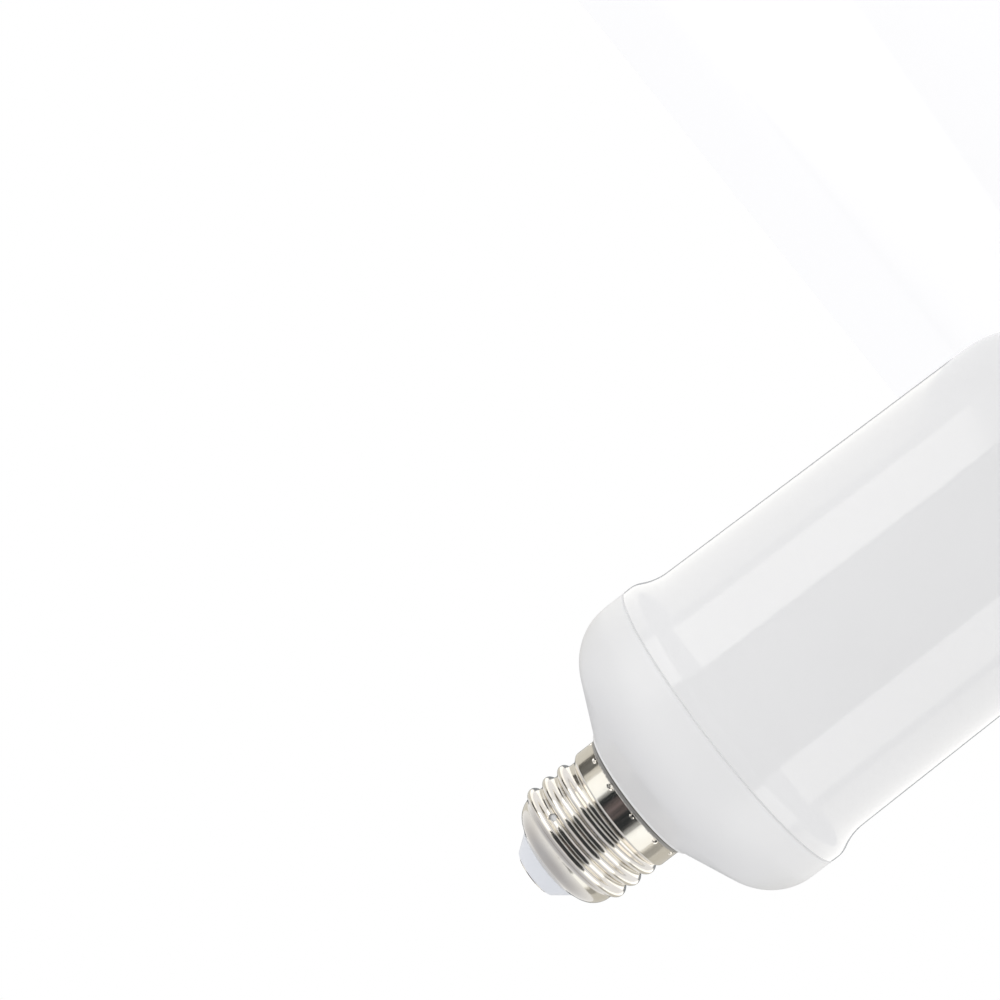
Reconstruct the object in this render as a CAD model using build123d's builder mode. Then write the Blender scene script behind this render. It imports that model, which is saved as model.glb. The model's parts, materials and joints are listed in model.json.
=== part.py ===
from build123d import *
import os
from math import acos, asin, cos, pi, radians, sin, sqrt, tan

# A flame effect LED bulb with an Edison screw cap.
# It stands on its flat head. Z runs along its axis, from the head at 0 up to the centre contact.
# All sizes are in millimetres.

# Diffuser: the opal cover
rim_r = 31.5
foot_step = 1.9
head_taper = 2.0
head_corner_r = 17.0
rim_h = 2.5
flare_h = 3.65
flare_in_share = 0.66
flare_out_share = 0.26
diffuser_wall = 1.3
foot_web = 1.2
web_fillet_share = 0.8
spigot_h = 4.0
spigot_wall = 1.2
seam_bevel = 0.25
plug_gap = 0.1

# Base housing: the cone, its lip and its neck
housing_wall = 1.8
shoulder_h = 12.1
shoulder_r = 12.0
cone_h = 9.2
lip_step = 0.95
lip_h = 0.4
collar_h = 3.6
neck_wall = 1.45

# Screw shell: rolled sheet with an Edison thread
sheet = 0.3
crest_r = 13.15
thread_depth = 1.1
thread_pitch = 3.629
ridge_start = 0.75
ridge_lift = 1.308
ridge_end_gap = 1.506
ridge_sink = 0.25
ridge_foot_half = 1.52
ridge_flank_half = 0.94
ridge_flank_h = 0.4
ridge_top_half = 0.4
ridge_top_drop = 0.1
skirt_drop = 0.1
skirt_h = 5.0
rim_curl = 0.45
rim_curl_h = 0.6
thread_h = 13.4
dome_corner_in = 1.65
dome_corner_h = 2.0
dome_end_in = 4.25
dome_end_h = 1.3
dimple_count = 12
dimple_r = 0.5
dimple_push = 0.35
dimple_drop = 1.25
dimple_turn = -71.2
pierced_r = 0.75
pierced_turn = -59.0
pierced_laps = 1.5

# Cap insulator and centre contact
insulator_gap = 0.15
insulator_seat_h = 2.5
insulator_taper = 2.7
insulator_cone_h = 3.7
insulator_edge_r = 0.5
insulator_rest = 4.2
insulator_recess_h = 3.0
contact_margin = 0.6
contact_t = 0.3
contact_crown = 0.25
stem_r = 1.1
stem_len = 6.4
stem_gap = 0.1

# Column: the mounting plate, the former, its flexible board and its LEDs
plate_drop = 2.3
plate_t = 1.6
plate_gap = 0.25
plate_hole_r = 6.0
screw_count = 3
screw_margin = 6.15
screw_start = 90.0
screw_head_r = 2.3
screw_head_h = 1.5
screw_shank_r = 1.2
screw_len = 8.0
screw_gap = 0.05
boss_r = 3.2
head_room = 12.0
column_step = 5.0
former_wall = 1.5
former_len = 84.6
collar_ring_h = 6.0
collar_ring_wall = 1.5
flex_gap = 0.05
flex_t = 0.3
flex_margin = 1.0
flex_seam = 1.2
led_rings = 11
led_columns = 9
led_margin = 3.05
led_length = 3.5
led_width = 2.8
led_height = 0.75
led_edge = 0.2
column_cap_t = 1.6
control_board_t = 1.2
control_chip_y = 6.0
control_cap_r = 2.5
control_cap_h = 5.0

# Chips
chip_l = 4.9
chip_w = 3.9
chip_h = 1.45
chip_pins = 4
pin_w = 0.4
pin_t = 0.2
pin_reach = 1.0
pin_spacing = 1.27
bridge_l = 4.7
bridge_w = 3.8
bridge_h = 2.4
diode_l = 2.6
diode_w = 4.3
diode_h = 2.2
resistor_l = 2.0
resistor_w = 1.25
resistor_h = 0.55
resistor_count = 3

# Driver board and what it carries
board_t = 1.6
board_gap = 3.0
board_wide = 34.0
board_wide_h = 8.5
board_side_gap = 0.5
board_end_gap = 1.3
guide_t = 1.2
guide_gap = 0.1
guide_reach = 1.9
guide_h = 12.0
input_cap_gap = 1.4
input_cap_h = 12.0
output_cap_r = 4.0
output_cap_h = 9.0
can_edge_r = 0.6
can_groove = 0.35
inductor_r = 4.5
inductor_h = 7.5
inductor_flange = 1.2
inductor_inset = 0.7
fuse_r = 1.6
fuse_len = 8.0
fuse_tail = 1.6
fuse_in = 5.7
fuse_drop = 5.0
input_cap_drop = 3.0
output_cap_in = 8.5
chip_in = 8.0
bridge_x = 3.5
bridge_drop = 9.2
wire_r = 0.45
lead_bend_r = 1.1
lead_drop = 1.6
lead_tail = 3.4
neutral_reach = 5.2
supply_x = 3.0
supply_spread_x = 4.2
supply_step = 1.8


def turn_at(before, here, after):
    """Give the angle between two lines of an outline where they meet, left turns being above zero."""
    first = (Vector(*here) - Vector(*before)).normalized()
    second = (Vector(*after) - Vector(*here)).normalized()
    return asin(max(-1.0, min(1.0, first.X * second.Y - first.Y * second.X)))


def inset(points, radii, depth):
    """Move an outline of radius and height to its left by depth, and give its points and fillet radii."""
    normals = []
    for start, end in zip(points, points[1:]):
        along = (Vector(*end) - Vector(*start)).normalized()
        normals.append(Vector(-along.Y, along.X))
    moved = [Vector(*points[0]) + normals[0] * depth]
    new_radii = []
    for place in range(1, len(points) - 1):
        before, after = normals[place - 1], normals[place]
        middle = (before + after).normalized()
        moved.append(Vector(*points[place]) + middle * (depth / middle.dot(after)))
        turn = turn_at(points[place - 1], points[place], points[place + 1])
        shift = -depth if turn > 0 else depth
        new_radii.append(max(0.0, radii[place - 1] + shift))
    moved.append(Vector(*points[-1]) + normals[-1] * depth)
    return [(point.X, point.Y) for point in moved], new_radii


def ring_planes(radius, height, count, start=0.0):
    """Give planes round the axis that face outwards, at one radius and height."""
    angles = [radians(start + 360.0 / count * step) for step in range(count)]
    return [
        Plane(origin=(radius * cos(a), radius * sin(a), height), z_dir=(cos(a), sin(a), 0))
        for a in angles
    ]


def finish(part, name):
    """Label a finished piece and write it."""
    part.label = name
    export_step(part, f"parts/{name}.step")


os.makedirs("parts", exist_ok=True)

# Heights that more than one piece uses
former_z = head_room
plate_z = former_z + former_len
plate_top_z = plate_z + plate_t
seam_z = plate_z - plate_drop
lip_z = seam_z + shoulder_h + cone_h
collar_z = lip_z + collar_h
skirt_end_z = lip_z + skirt_h
thread_end_z = skirt_end_z + thread_h
neck_end_z = thread_end_z - insulator_seat_h
dome_end_z = thread_end_z + dome_corner_h + dome_end_h
insulator_end_z = dome_end_z + insulator_cone_h
board_z = plate_top_z + board_gap
board_top_z = neck_end_z - board_end_gap
board_len = board_top_z - board_z

# Radii that more than one piece uses
foot_r = rim_r - foot_step
head_r = foot_r - head_taper
spigot_r = rim_r - housing_wall - plug_gap
plate_r = spigot_r - spigot_wall - plate_gap
screw_ring_r = plate_r - screw_margin
former_r = screw_ring_r - column_step
collar_ring_r = former_r - former_wall - plug_gap
lip_r = crest_r + lip_step
skirt_r = crest_r - skirt_drop
skirt_in_r = skirt_r - sheet
collar_r = skirt_in_r - plug_gap
root_r = crest_r - thread_depth
root_in_r = root_r - sheet
neck_r = root_in_r - plug_gap
neck_bore_r = neck_r - neck_wall
dome_end_r = root_r - dome_end_in
board_neck_w = 2 * (neck_bore_r - board_side_gap)

# Diffuser: one outline for the outside, moved in by the wall for the inside
flare_turn = acos(flare_h / sqrt(flare_h**2 + (rim_r - foot_r) ** 2))
flare_len = flare_h / cos(flare_turn)
flare_in_r = flare_in_share * flare_len / tan(flare_turn / 2)
flare_out_r = flare_out_share * flare_len / tan(flare_turn / 2)
flare_top_z = seam_z - rim_h
diffuser_outline = [
    (0, 0),
    (head_r, 0),
    (foot_r, flare_top_z - flare_h),
    (rim_r, flare_top_z),
    (rim_r, seam_z - seam_bevel),
]
diffuser_radii = [head_corner_r, flare_in_r, flare_out_r]
diffuser_inside, diffuser_inside_radii = inset(diffuser_outline, diffuser_radii, diffuser_wall)
web_z = seam_z - foot_web
diffuser_inside[-1] = (diffuser_inside[-1][0], web_z)
web_room = (web_z - diffuser_inside[-2][1]) / tan(flare_turn / 2)
diffuser_inside_radii[-1] = min(diffuser_inside_radii[-1], web_fillet_share * web_room)

with BuildPart() as diffuser:
    with BuildSketch(Plane.XZ):
        with BuildLine():
            FilletPolyline(*diffuser_outline, radius=diffuser_radii)
            Polyline(
                diffuser_outline[-1],
                (rim_r - seam_bevel, seam_z),
                (spigot_r, seam_z),
                (spigot_r, seam_z + spigot_h),
                (spigot_r - spigot_wall, seam_z + spigot_h),
                (spigot_r - spigot_wall, web_z),
                diffuser_inside[-1],
            )
            FilletPolyline(*diffuser_inside, radius=diffuser_inside_radii)
            Line(diffuser_inside[0], (0, 0))
        make_face()
    revolve(axis=Axis.Z)
finish(diffuser.part, "diffuser")

# Base housing: a cone with a rounded shoulder, a lip, and a stepped neck inside the screw shell
housing_outline = [
    (rim_r, seam_z + seam_bevel),
    (rim_r, seam_z + shoulder_h),
    (lip_r, lip_z - lip_h),
    (lip_r, lip_z),
    (collar_r, lip_z),
    (collar_r, collar_z),
    (neck_r, collar_z + skirt_r - root_r),
    (neck_r, neck_end_z),
    (neck_bore_r, neck_end_z),
]
cone_inside, cone_inside_radii = inset(housing_outline[:3], [shoulder_r], housing_wall)
cone_slope = (cone_inside[2][1] - cone_inside[1][1]) / (cone_inside[1][0] - cone_inside[2][0])


def cone_inside_z(radius):
    """Give the height of the cone's inner face at a radius."""
    return cone_inside[1][1] + (cone_inside[1][0] - radius) * cone_slope


with BuildPart() as housing_envelope:
    with BuildSketch(Plane.XZ):
        with BuildLine():
            FilletPolyline(
                *housing_outline[:4], (0, lip_z), (0, seam_z + seam_bevel),
                radius=[0, shoulder_r, 0, 0, 0, 0], close=True,
            )
        make_face()
    revolve(axis=Axis.Z)

screw_places = [
    (screw_ring_r * cos(radians(angle)), screw_ring_r * sin(radians(angle)))
    for angle in [screw_start + 360 / screw_count * step for step in range(screw_count)]
]
with BuildPart() as bosses:
    with BuildSketch(Plane.XY.offset(plate_top_z)):
        with Locations(*screw_places):
            Circle(boss_r)
    extrude(amount=lip_z - plate_top_z)
    add(housing_envelope.part, mode=Mode.INTERSECT)

guide_z = board_top_z - guide_h - board_t
with BuildPart() as guides:
    with BuildSketch(Plane.XY.offset(guide_z)):
        for side in (-1, 1):
            for face in (-1, 1):
                middle_x = side * (board_neck_w / 2 + guide_gap + neck_wall / 2 - guide_reach / 2)
                middle_y = face * (board_t / 2 + guide_gap + guide_t / 2)
                with Locations((middle_x, middle_y)):
                    Rectangle(neck_wall + guide_reach, guide_t)
    extrude(amount=guide_h)
    with BuildSketch(Plane.XY.offset(guide_z)):
        Circle(neck_bore_r + neck_wall / 2)
    extrude(amount=guide_h, mode=Mode.INTERSECT)

lead_track_r = root_in_r - wire_r - plug_gap / 2
neutral_y = board_t / 2 + wire_r
neutral_x = -sqrt(lead_track_r**2 - neutral_y**2)
track_w = 2 * (wire_r + plug_gap)
over_z = neck_end_z - wire_r - 2 * plug_gap
neutral_end_z = over_z - neutral_reach

with BuildPart() as base_housing:
    with BuildSketch(Plane.XZ):
        with BuildLine():
            FilletPolyline(
                *housing_outline,
                (neck_bore_r, cone_inside_z(neck_bore_r)),
                cone_inside[1],
                (cone_inside[0][0], seam_z),
                (rim_r - seam_bevel, seam_z),
                radius=[0, shoulder_r, 0, 0, 0, 0, 0, 0, 0, 0, cone_inside_radii[0], 0, 0],
                close=True,
            )
        make_face()
    revolve(axis=Axis.Z)
    add(bosses.part)
    add(guides.part)
    with BuildSketch(Plane.XY.offset(plate_top_z)):
        with Locations(*screw_places):
            Circle(screw_shank_r + screw_gap)
    extrude(amount=screw_len - plate_t + screw_gap, mode=Mode.SUBTRACT)
    with BuildSketch(*ring_planes(collar_r, lip_z + dimple_drop, dimple_count, dimple_turn)):
        Circle(dimple_r + sheet + plug_gap)
    extrude(amount=-dimple_push - plug_gap, mode=Mode.SUBTRACT)
    with BuildSketch(Plane.XY.offset(neutral_end_z - plug_gap)):
        with Locations((neutral_x - track_w, neutral_y)):
            Rectangle(3 * track_w, track_w)
    extrude(amount=board_len, mode=Mode.SUBTRACT)
    with BuildSketch(Plane.XY.offset(over_z - 2 * wire_r - plug_gap)):
        with Locations((neutral_x, neutral_y)):
            Rectangle(4 * track_w, track_w)
    extrude(amount=board_len, mode=Mode.SUBTRACT)
finish(base_housing.part, "base_housing")

# Screw shell: rolled from thin sheet, with a skirt, a helical ridge, a dome and crimp dimples
rim_z = lip_z + sheet
shell_outline = [
    (skirt_r + rim_curl, rim_z),
    (skirt_r, rim_z + rim_curl_h),
    (skirt_r, skirt_end_z),
    (root_r, skirt_end_z + thread_depth),
    (root_r, thread_end_z),
    (root_r - dome_corner_in, thread_end_z + dome_corner_h),
    (dome_end_r, dome_end_z),
]
shell_radii = [0.6, 0.7, 0.5, 3.3, 6.0]
shell_inside, shell_inside_radii = inset(shell_outline, shell_radii, sheet)
ridge_base_r = root_r - ridge_sink
ridge_low_z = skirt_end_z + ridge_lift
ridge_high_z = thread_end_z - ridge_end_gap
ridge_turns = (ridge_high_z - ridge_low_z) / thread_pitch
ridge_outline = [
    (ridge_base_r, -ridge_foot_half),
    (root_r + ridge_flank_h, -ridge_flank_half),
    (crest_r - ridge_top_drop, -ridge_top_half),
    (crest_r, 0),
    (crest_r - ridge_top_drop, ridge_top_half),
    (root_r + ridge_flank_h, ridge_flank_half),
    (ridge_base_r, ridge_foot_half),
]
with BuildSketch(Plane.XZ) as ridge_section:
    with BuildLine():
        Polyline(*[(r, ridge_low_z + z) for r, z in ridge_outline], close=True)
    make_face()
with BuildPart() as ridge:
    with BuildLine() as ridge_path:
        Helix(thread_pitch, ridge_high_z - ridge_low_z, ridge_base_r, center=(0, 0, ridge_low_z))
    sweep(sections=ridge_section.sketch, path=ridge_path.line, is_frenet=True)
    for end_z, turns in ((ridge_low_z, 0), (ridge_high_z, ridge_turns)):
        away = Vector(cos(2 * pi * turns), sin(2 * pi * turns), 0)
        run_out = Plane(
            origin=(ridge_base_r * away.X, ridge_base_r * away.Y, end_z),
            x_dir=(-away.Y, away.X, 0),
            z_dir=away,
        )
        with BuildSketch(run_out):
            Rectangle(2 * crest_r, thread_pitch)
        extrude(amount=crest_r, mode=Mode.SUBTRACT)

with BuildPart() as screw_shell:
    with BuildSketch(Plane.XZ):
        with BuildLine():
            FilletPolyline(*shell_outline, radius=shell_radii)
            Line(shell_outline[-1], shell_inside[-1])
            FilletPolyline(*shell_inside, radius=shell_inside_radii)
            Line(shell_inside[0], shell_outline[0])
        make_face()
    revolve(axis=Axis.Z)
    add(ridge.part.rotate(Axis.Z, -360 * ridge_start))
    with BuildSketch(*ring_planes(skirt_in_r + sheet / 2, lip_z + dimple_drop, dimple_count, dimple_turn)):
        Circle(dimple_r + sheet)
    extrude(amount=-dimple_push - sheet / 2)
    with BuildSketch(*ring_planes(skirt_r + sheet, lip_z + dimple_drop, dimple_count, dimple_turn)):
        Circle(dimple_r)
    extrude(amount=-dimple_push - sheet, mode=Mode.SUBTRACT)
    pierced_z = ridge_low_z + thread_pitch * (ridge_start + pierced_laps + pierced_turn / 360)
    with BuildSketch(*ring_planes(root_in_r - sheet, pierced_z, 1, pierced_turn)):
        Circle(pierced_r)
    extrude(amount=crest_r - root_in_r + 2 * sheet, mode=Mode.SUBTRACT)
finish(screw_shell.part, "screw_shell")

# Cap insulator: a plate on the neck's end, a core under the dome, and the white cone outside
core_outline, core_radii = inset(shell_outline[3:], shell_radii[3:], sheet + insulator_gap)
insulator_in_z = neck_end_z
insulator_end_r = dome_end_r - insulator_taper
insulator_recess_r = neck_bore_r - insulator_rest
with BuildPart() as cap_insulator:
    with BuildSketch(Plane.XZ):
        with BuildLine():
            FilletPolyline(
                (insulator_recess_r, insulator_in_z),
                (core_outline[0][0], insulator_in_z),
                *core_outline[1:-1],
                (dome_end_r - insulator_gap, core_outline[-1][1]),
                (dome_end_r - insulator_gap, dome_end_z + insulator_gap),
                (insulator_end_r, insulator_end_z),
                (stem_r + stem_gap, insulator_end_z),
                (stem_r + stem_gap, insulator_in_z + insulator_recess_h),
                (insulator_recess_r, insulator_in_z + insulator_recess_h),
                radius=[0, 0, *core_radii, 0, 0, insulator_edge_r, 0, 0, 0],
                close=True,
            )
        make_face()
    revolve(axis=Axis.Z)
finish(cap_insulator.part, "cap_insulator")

# Centre contact: a low crowned disc on a stem
contact_r = insulator_end_r - contact_margin
with BuildPart() as centre_contact:
    with BuildSketch(Plane.XZ):
        with BuildLine():
            crown_z = insulator_end_z + contact_t
            Polyline(
                (0, crown_z + contact_crown),
                (0, insulator_end_z - stem_len),
                (stem_r, insulator_end_z - stem_len),
                (stem_r, insulator_end_z),
                (contact_r, insulator_end_z),
                (contact_r, crown_z),
            )
            crown_rise = (contact_crown**2 + contact_r**2) / (2 * contact_crown)
            RadiusArc((contact_r, crown_z), (0, crown_z + contact_crown), -crown_rise)
        make_face()
    revolve(axis=Axis.Z)
finish(centre_contact.part, "centre_contact")

# Mounting plate: a disc on the housing's bosses, with a ring that the former slides over
with BuildPart() as mounting_plate:
    with BuildSketch(Plane.XY.offset(plate_z)):
        Circle(plate_r)
    extrude(amount=plate_t)
    with BuildSketch(Plane.XY.offset(plate_z)):
        Circle(collar_ring_r)
    extrude(amount=-collar_ring_h)
    with BuildSketch(Plane.XY.offset(plate_z)):
        Circle(collar_ring_r - collar_ring_wall)
    extrude(amount=-collar_ring_h, mode=Mode.SUBTRACT)
    with BuildSketch(Plane.XY.offset(plate_z)):
        Circle(plate_hole_r)
        with Locations(*screw_places):
            Circle(screw_shank_r + screw_gap)
    extrude(amount=plate_t, mode=Mode.SUBTRACT)
finish(mounting_plate.part, "mounting_plate")

# Mounting screws: pan heads under the plate, shanks in the bosses
with BuildPart() as mounting_screws:
    with BuildSketch(Plane.XY.offset(plate_z)):
        with Locations(*screw_places):
            Circle(screw_head_r)
    extrude(amount=-screw_head_h)
    fillet(mounting_screws.faces().sort_by(Axis.Z)[:screw_count].edges(), screw_head_h / 3)
    with BuildSketch(Plane.XY.offset(plate_z)):
        with Locations(*screw_places):
            Circle(screw_shank_r)
    extrude(amount=screw_len)
    with BuildSketch(Plane.XY.offset(plate_z - screw_head_h)):
        with Locations(*screw_places):
            Rectangle(screw_head_r, screw_head_r / 5)
            Rectangle(screw_head_r / 5, screw_head_r)
    extrude(amount=screw_head_h / 2, mode=Mode.SUBTRACT)
finish(mounting_screws.part, "mounting_screws")

# LED former: the tube on the plate's ring
with BuildPart() as led_former:
    with BuildSketch(Plane.XY.offset(former_z)):
        Circle(former_r)
        Circle(former_r - former_wall, mode=Mode.SUBTRACT)
    extrude(amount=former_len)
finish(led_former.part, "led_former")

# Column cap: a plug in the former's head end
with BuildPart() as column_cap:
    with BuildSketch(Plane.XY.offset(former_z - column_cap_t)):
        Circle(former_r + flex_gap + flex_t)
    extrude(amount=column_cap_t)
    fillet(column_cap.faces().sort_by(Axis.Z)[0].edges(), column_cap_t / 2)
    with BuildSketch(Plane.XY.offset(former_z)):
        Circle(collar_ring_r)
        Circle(collar_ring_r - collar_ring_wall, mode=Mode.SUBTRACT)
    extrude(amount=collar_ring_h)
finish(column_cap.part, "column_cap")

# Flexible board: a sheet wrapped round the former, open at its seam
flex_r = former_r + flex_gap
flex_len = former_len - 2 * flex_margin
with BuildPart() as led_flex_board:
    with BuildSketch(Plane.XY.offset(former_z + flex_margin)):
        Circle(flex_r + flex_t)
        Circle(flex_r, mode=Mode.SUBTRACT)
        with Locations((0, flex_r)):
            Rectangle(flex_seam, 2 * flex_r, mode=Mode.SUBTRACT)
    extrude(amount=flex_len)
finish(led_flex_board.part, "led_flex_board")

# LED rings: each holds one package in every column, seated on the flexible board
led_spacing = (flex_len - led_length - 2 * led_margin) / (led_rings - 1)
led_first_z = former_z + former_len / 2 - led_spacing * (led_rings - 1) / 2
led_start = 90 + 180 / led_columns
for ring in range(led_rings):
    ring_z = led_first_z + led_spacing * ring
    with BuildPart() as led_ring:
        with BuildSketch(*ring_planes(flex_r + flex_t, ring_z, led_columns, led_start)):
            Rectangle(led_width, led_length)
        extrude(amount=led_height - led_edge)
        with BuildSketch(
            *ring_planes(flex_r + flex_t + led_height - led_edge, ring_z, led_columns, led_start)
        ):
            Rectangle(led_width - 2 * led_edge, led_length - 2 * led_edge)
        extrude(amount=led_edge)
    finish(led_ring.part, f"led_ring_{ring + 1:02d}")


def small_chip(seat, length, width, height, pins, spacing, name):
    """Build a moulded chip with a row of pins along each side, on a board's face, and write it."""
    with BuildPart() as chip:
        with BuildSketch(seat.offset(pin_t)):
            Rectangle(length, width)
        extrude(amount=height - pin_t)
        top = chip.faces().sort_by(Axis(seat.origin, seat.z_dir))[-1]
        chamfer(top.edges(), pin_t)
        with BuildSketch(seat):
            with GridLocations(spacing, width, pins, 2):
                Rectangle(pin_w, 2 * pin_reach)
        extrude(amount=pin_t)
    finish(chip.part, name)


def electrolytic(seat, radius, height, name):
    """Build a capacitor's can, with rounded ends and the groove round its foot, and write it."""
    with BuildPart() as can:
        with BuildSketch(seat):
            Circle(radius)
        extrude(amount=height)
        fillet(can.edges(), can_edge_r)
        with BuildSketch(seat.offset(3 * can_edge_r)):
            Circle(radius)
            Circle(radius - can_groove, mode=Mode.SUBTRACT)
        extrude(amount=can_groove, mode=Mode.SUBTRACT)
    finish(can.part, name)


def lead(points, bend_r, name):
    """Sweep a wire along straight runs joined by arcs and write it."""
    start = Vector(*points[0])
    with BuildPart() as wire:
        with BuildLine() as route:
            FilletPolyline(*points, radius=bend_r)
        with BuildSketch(Plane(origin=start, z_dir=Vector(*points[1]) - start)):
            Circle(wire_r)
        sweep(path=route.line)
    finish(wire.part, name)


# Control board: a disc on the plate's ring, with the chip and its capacitor on the head side
control_top_z = plate_z - collar_ring_h
control_z = control_top_z - control_board_t
with BuildPart() as control_board:
    with BuildSketch(Plane.XY.offset(control_z)):
        Circle(collar_ring_r)
    extrude(amount=control_board_t)
finish(control_board.part, "control_board")
control_face = Plane(origin=(0, -control_chip_y, control_z), x_dir=(1, 0, 0), z_dir=(0, 0, -1))
small_chip(control_face, chip_l, chip_w, chip_h, chip_pins, pin_spacing, "flame_controller")
electrolytic(
    Plane(origin=(0, control_chip_y, control_z), z_dir=(0, 0, -1)),
    control_cap_r, control_cap_h, "control_capacitor",
)

# Driver board: a wide foot in the cone and a narrow tongue held by the guides in the neck
wide_z = board_z + board_wide_h / 2
bridge_z = board_top_z - bridge_drop
chip_x = board_wide / 2 - chip_in
output_cap_x = board_wide / 2 - output_cap_in
input_cap_r = (neck_bore_r - board_t / 2 - input_cap_gap) / 2
front = Plane(origin=(0, -board_t / 2, 0), x_dir=(1, 0, 0), z_dir=(0, -1, 0))
with BuildPart() as driver_board:
    with BuildSketch(front):
        with Locations((0, board_z + board_wide_h / 2)):
            Rectangle(board_wide, board_wide_h)
        with Locations((0, board_z + board_len / 2)):
            Rectangle(board_neck_w, board_len)
        step_corners = vertices().group_by(Axis.Y)[1]
        chamfer(step_corners.filter_by(lambda v: abs(v.X) > (board_wide + board_neck_w) / 4), board_t)
    extrude(amount=-board_t)
finish(driver_board.part, "driver_board")


def front_seat(x, z):
    """Give a seat on the driver board's front face."""
    return Plane(origin=(x, -board_t / 2, z), x_dir=(1, 0, 0), z_dir=(0, -1, 0))


small_chip(
    front_seat(bridge_x, bridge_z), bridge_l, bridge_w, bridge_h, 2, 2 * pin_spacing,
    "bridge_rectifier",
)
small_chip(front_seat(-chip_x, wide_z), chip_l, chip_w, chip_h, chip_pins, pin_spacing, "driver_chip")
small_chip(front_seat(chip_x, wide_z), diode_l, diode_w, diode_h, 1, pin_spacing, "freewheel_diode")

with BuildPart() as chip_resistors:
    with BuildSketch(front_seat(0, wide_z)):
        with GridLocations(0, 2 * resistor_w, 1, resistor_count):
            Rectangle(resistor_l, resistor_w)
    extrude(amount=resistor_h)
finish(chip_resistors.part, "chip_resistors")

electrolytic(
    Plane(origin=(0, board_t / 2 + input_cap_r, board_top_z - input_cap_h - input_cap_drop)),
    input_cap_r, input_cap_h, "input_capacitor",
)
electrolytic(
    Plane(origin=(output_cap_x, board_t / 2 + output_cap_r, board_z)),
    output_cap_r, output_cap_h, "output_capacitor",
)

inductor_seat = Plane(
    origin=(-output_cap_x, board_t / 2, board_z + inductor_r), x_dir=(-1, 0, 0), z_dir=(0, 1, 0)
)
with BuildPart() as inductor:
    with BuildSketch(inductor_seat):
        Circle(inductor_r)
    extrude(amount=inductor_h)
    with BuildSketch(inductor_seat.offset(inductor_flange)):
        Circle(inductor_r)
        Circle(inductor_r - inductor_inset, mode=Mode.SUBTRACT)
    extrude(amount=inductor_h - 2 * inductor_flange, mode=Mode.SUBTRACT)
finish(inductor.part, "inductor")

# Fuse resistor: a body on two bent wires
fuse_x = fuse_in - neck_bore_r
fuse_y = -board_t / 2 - fuse_r
fuse_low_z = board_top_z - fuse_drop - fuse_len
fuse_route = [
    (fuse_x, -board_t / 2, fuse_low_z - fuse_tail),
    (fuse_x, fuse_y, fuse_low_z - fuse_tail),
    (fuse_x, fuse_y, fuse_low_z + fuse_len + fuse_tail),
    (fuse_x, -board_t / 2, fuse_low_z + fuse_len + fuse_tail),
]
with BuildPart() as fuse_resistor:
    with BuildLine() as fuse_path:
        FilletPolyline(*fuse_route, radius=fuse_r / 2)
    with BuildSketch(Plane(origin=fuse_route[0], z_dir=(0, -1, 0))):
        Circle(wire_r * 2 / 3)
    sweep(path=fuse_path.line)
    with BuildSketch(Plane(origin=(fuse_x, fuse_y, fuse_low_z))):
        Circle(fuse_r)
    extrude(amount=fuse_len)
finish(fuse_resistor.part, "fuse_resistor")

# Leads: from the contact and the shell to the driver board, and from there to the control board
stem_end_z = insulator_end_z - stem_len
on_board_y = board_t / 2 + wire_r
live_route = [
    (0, 0, stem_end_z),
    (0, 0, stem_end_z - lead_drop),
    (0, -on_board_y, board_top_z + 2 * wire_r),
    (0, -on_board_y, board_top_z - lead_tail),
]
lead(live_route, lead_bend_r, "live_lead")
neutral_in_x = -board_neck_w / 2 + guide_reach + wire_r
neutral_route = [
    (neutral_x, neutral_y, neutral_end_z),
    (neutral_x, neutral_y, over_z),
    (neutral_in_x, neutral_y, over_z),
    (neutral_in_x, neutral_y, board_top_z - lead_tail),
]
lead(neutral_route, lead_bend_r, "neutral_lead")
for side, name in ((-1, "supply_lead_negative"), (1, "supply_lead_positive")):
    supply_route = [
        (side * supply_x, -on_board_y, board_z + lead_tail),
        (side * supply_x, -on_board_y, plate_top_z),
        (side * supply_spread_x, -on_board_y - supply_step, plate_z - supply_step),
        (side * supply_spread_x, -on_board_y - supply_step, control_top_z),
    ]
    lead(supply_route, lead_bend_r, name)
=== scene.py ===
"""Looks of a flame effect bulb with an Edison screw cap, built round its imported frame.

The bulb stands on its flat head, and Z runs along its axis towards the cap. Outlines are radius and
height in millimetres, and every mesh is made in metres.
"""

import json
import logging
import math
from collections.abc import Callable, Sequence
from dataclasses import dataclass
from enum import Enum

import bmesh
import bpy
from mathutils import Matrix, Vector

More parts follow.
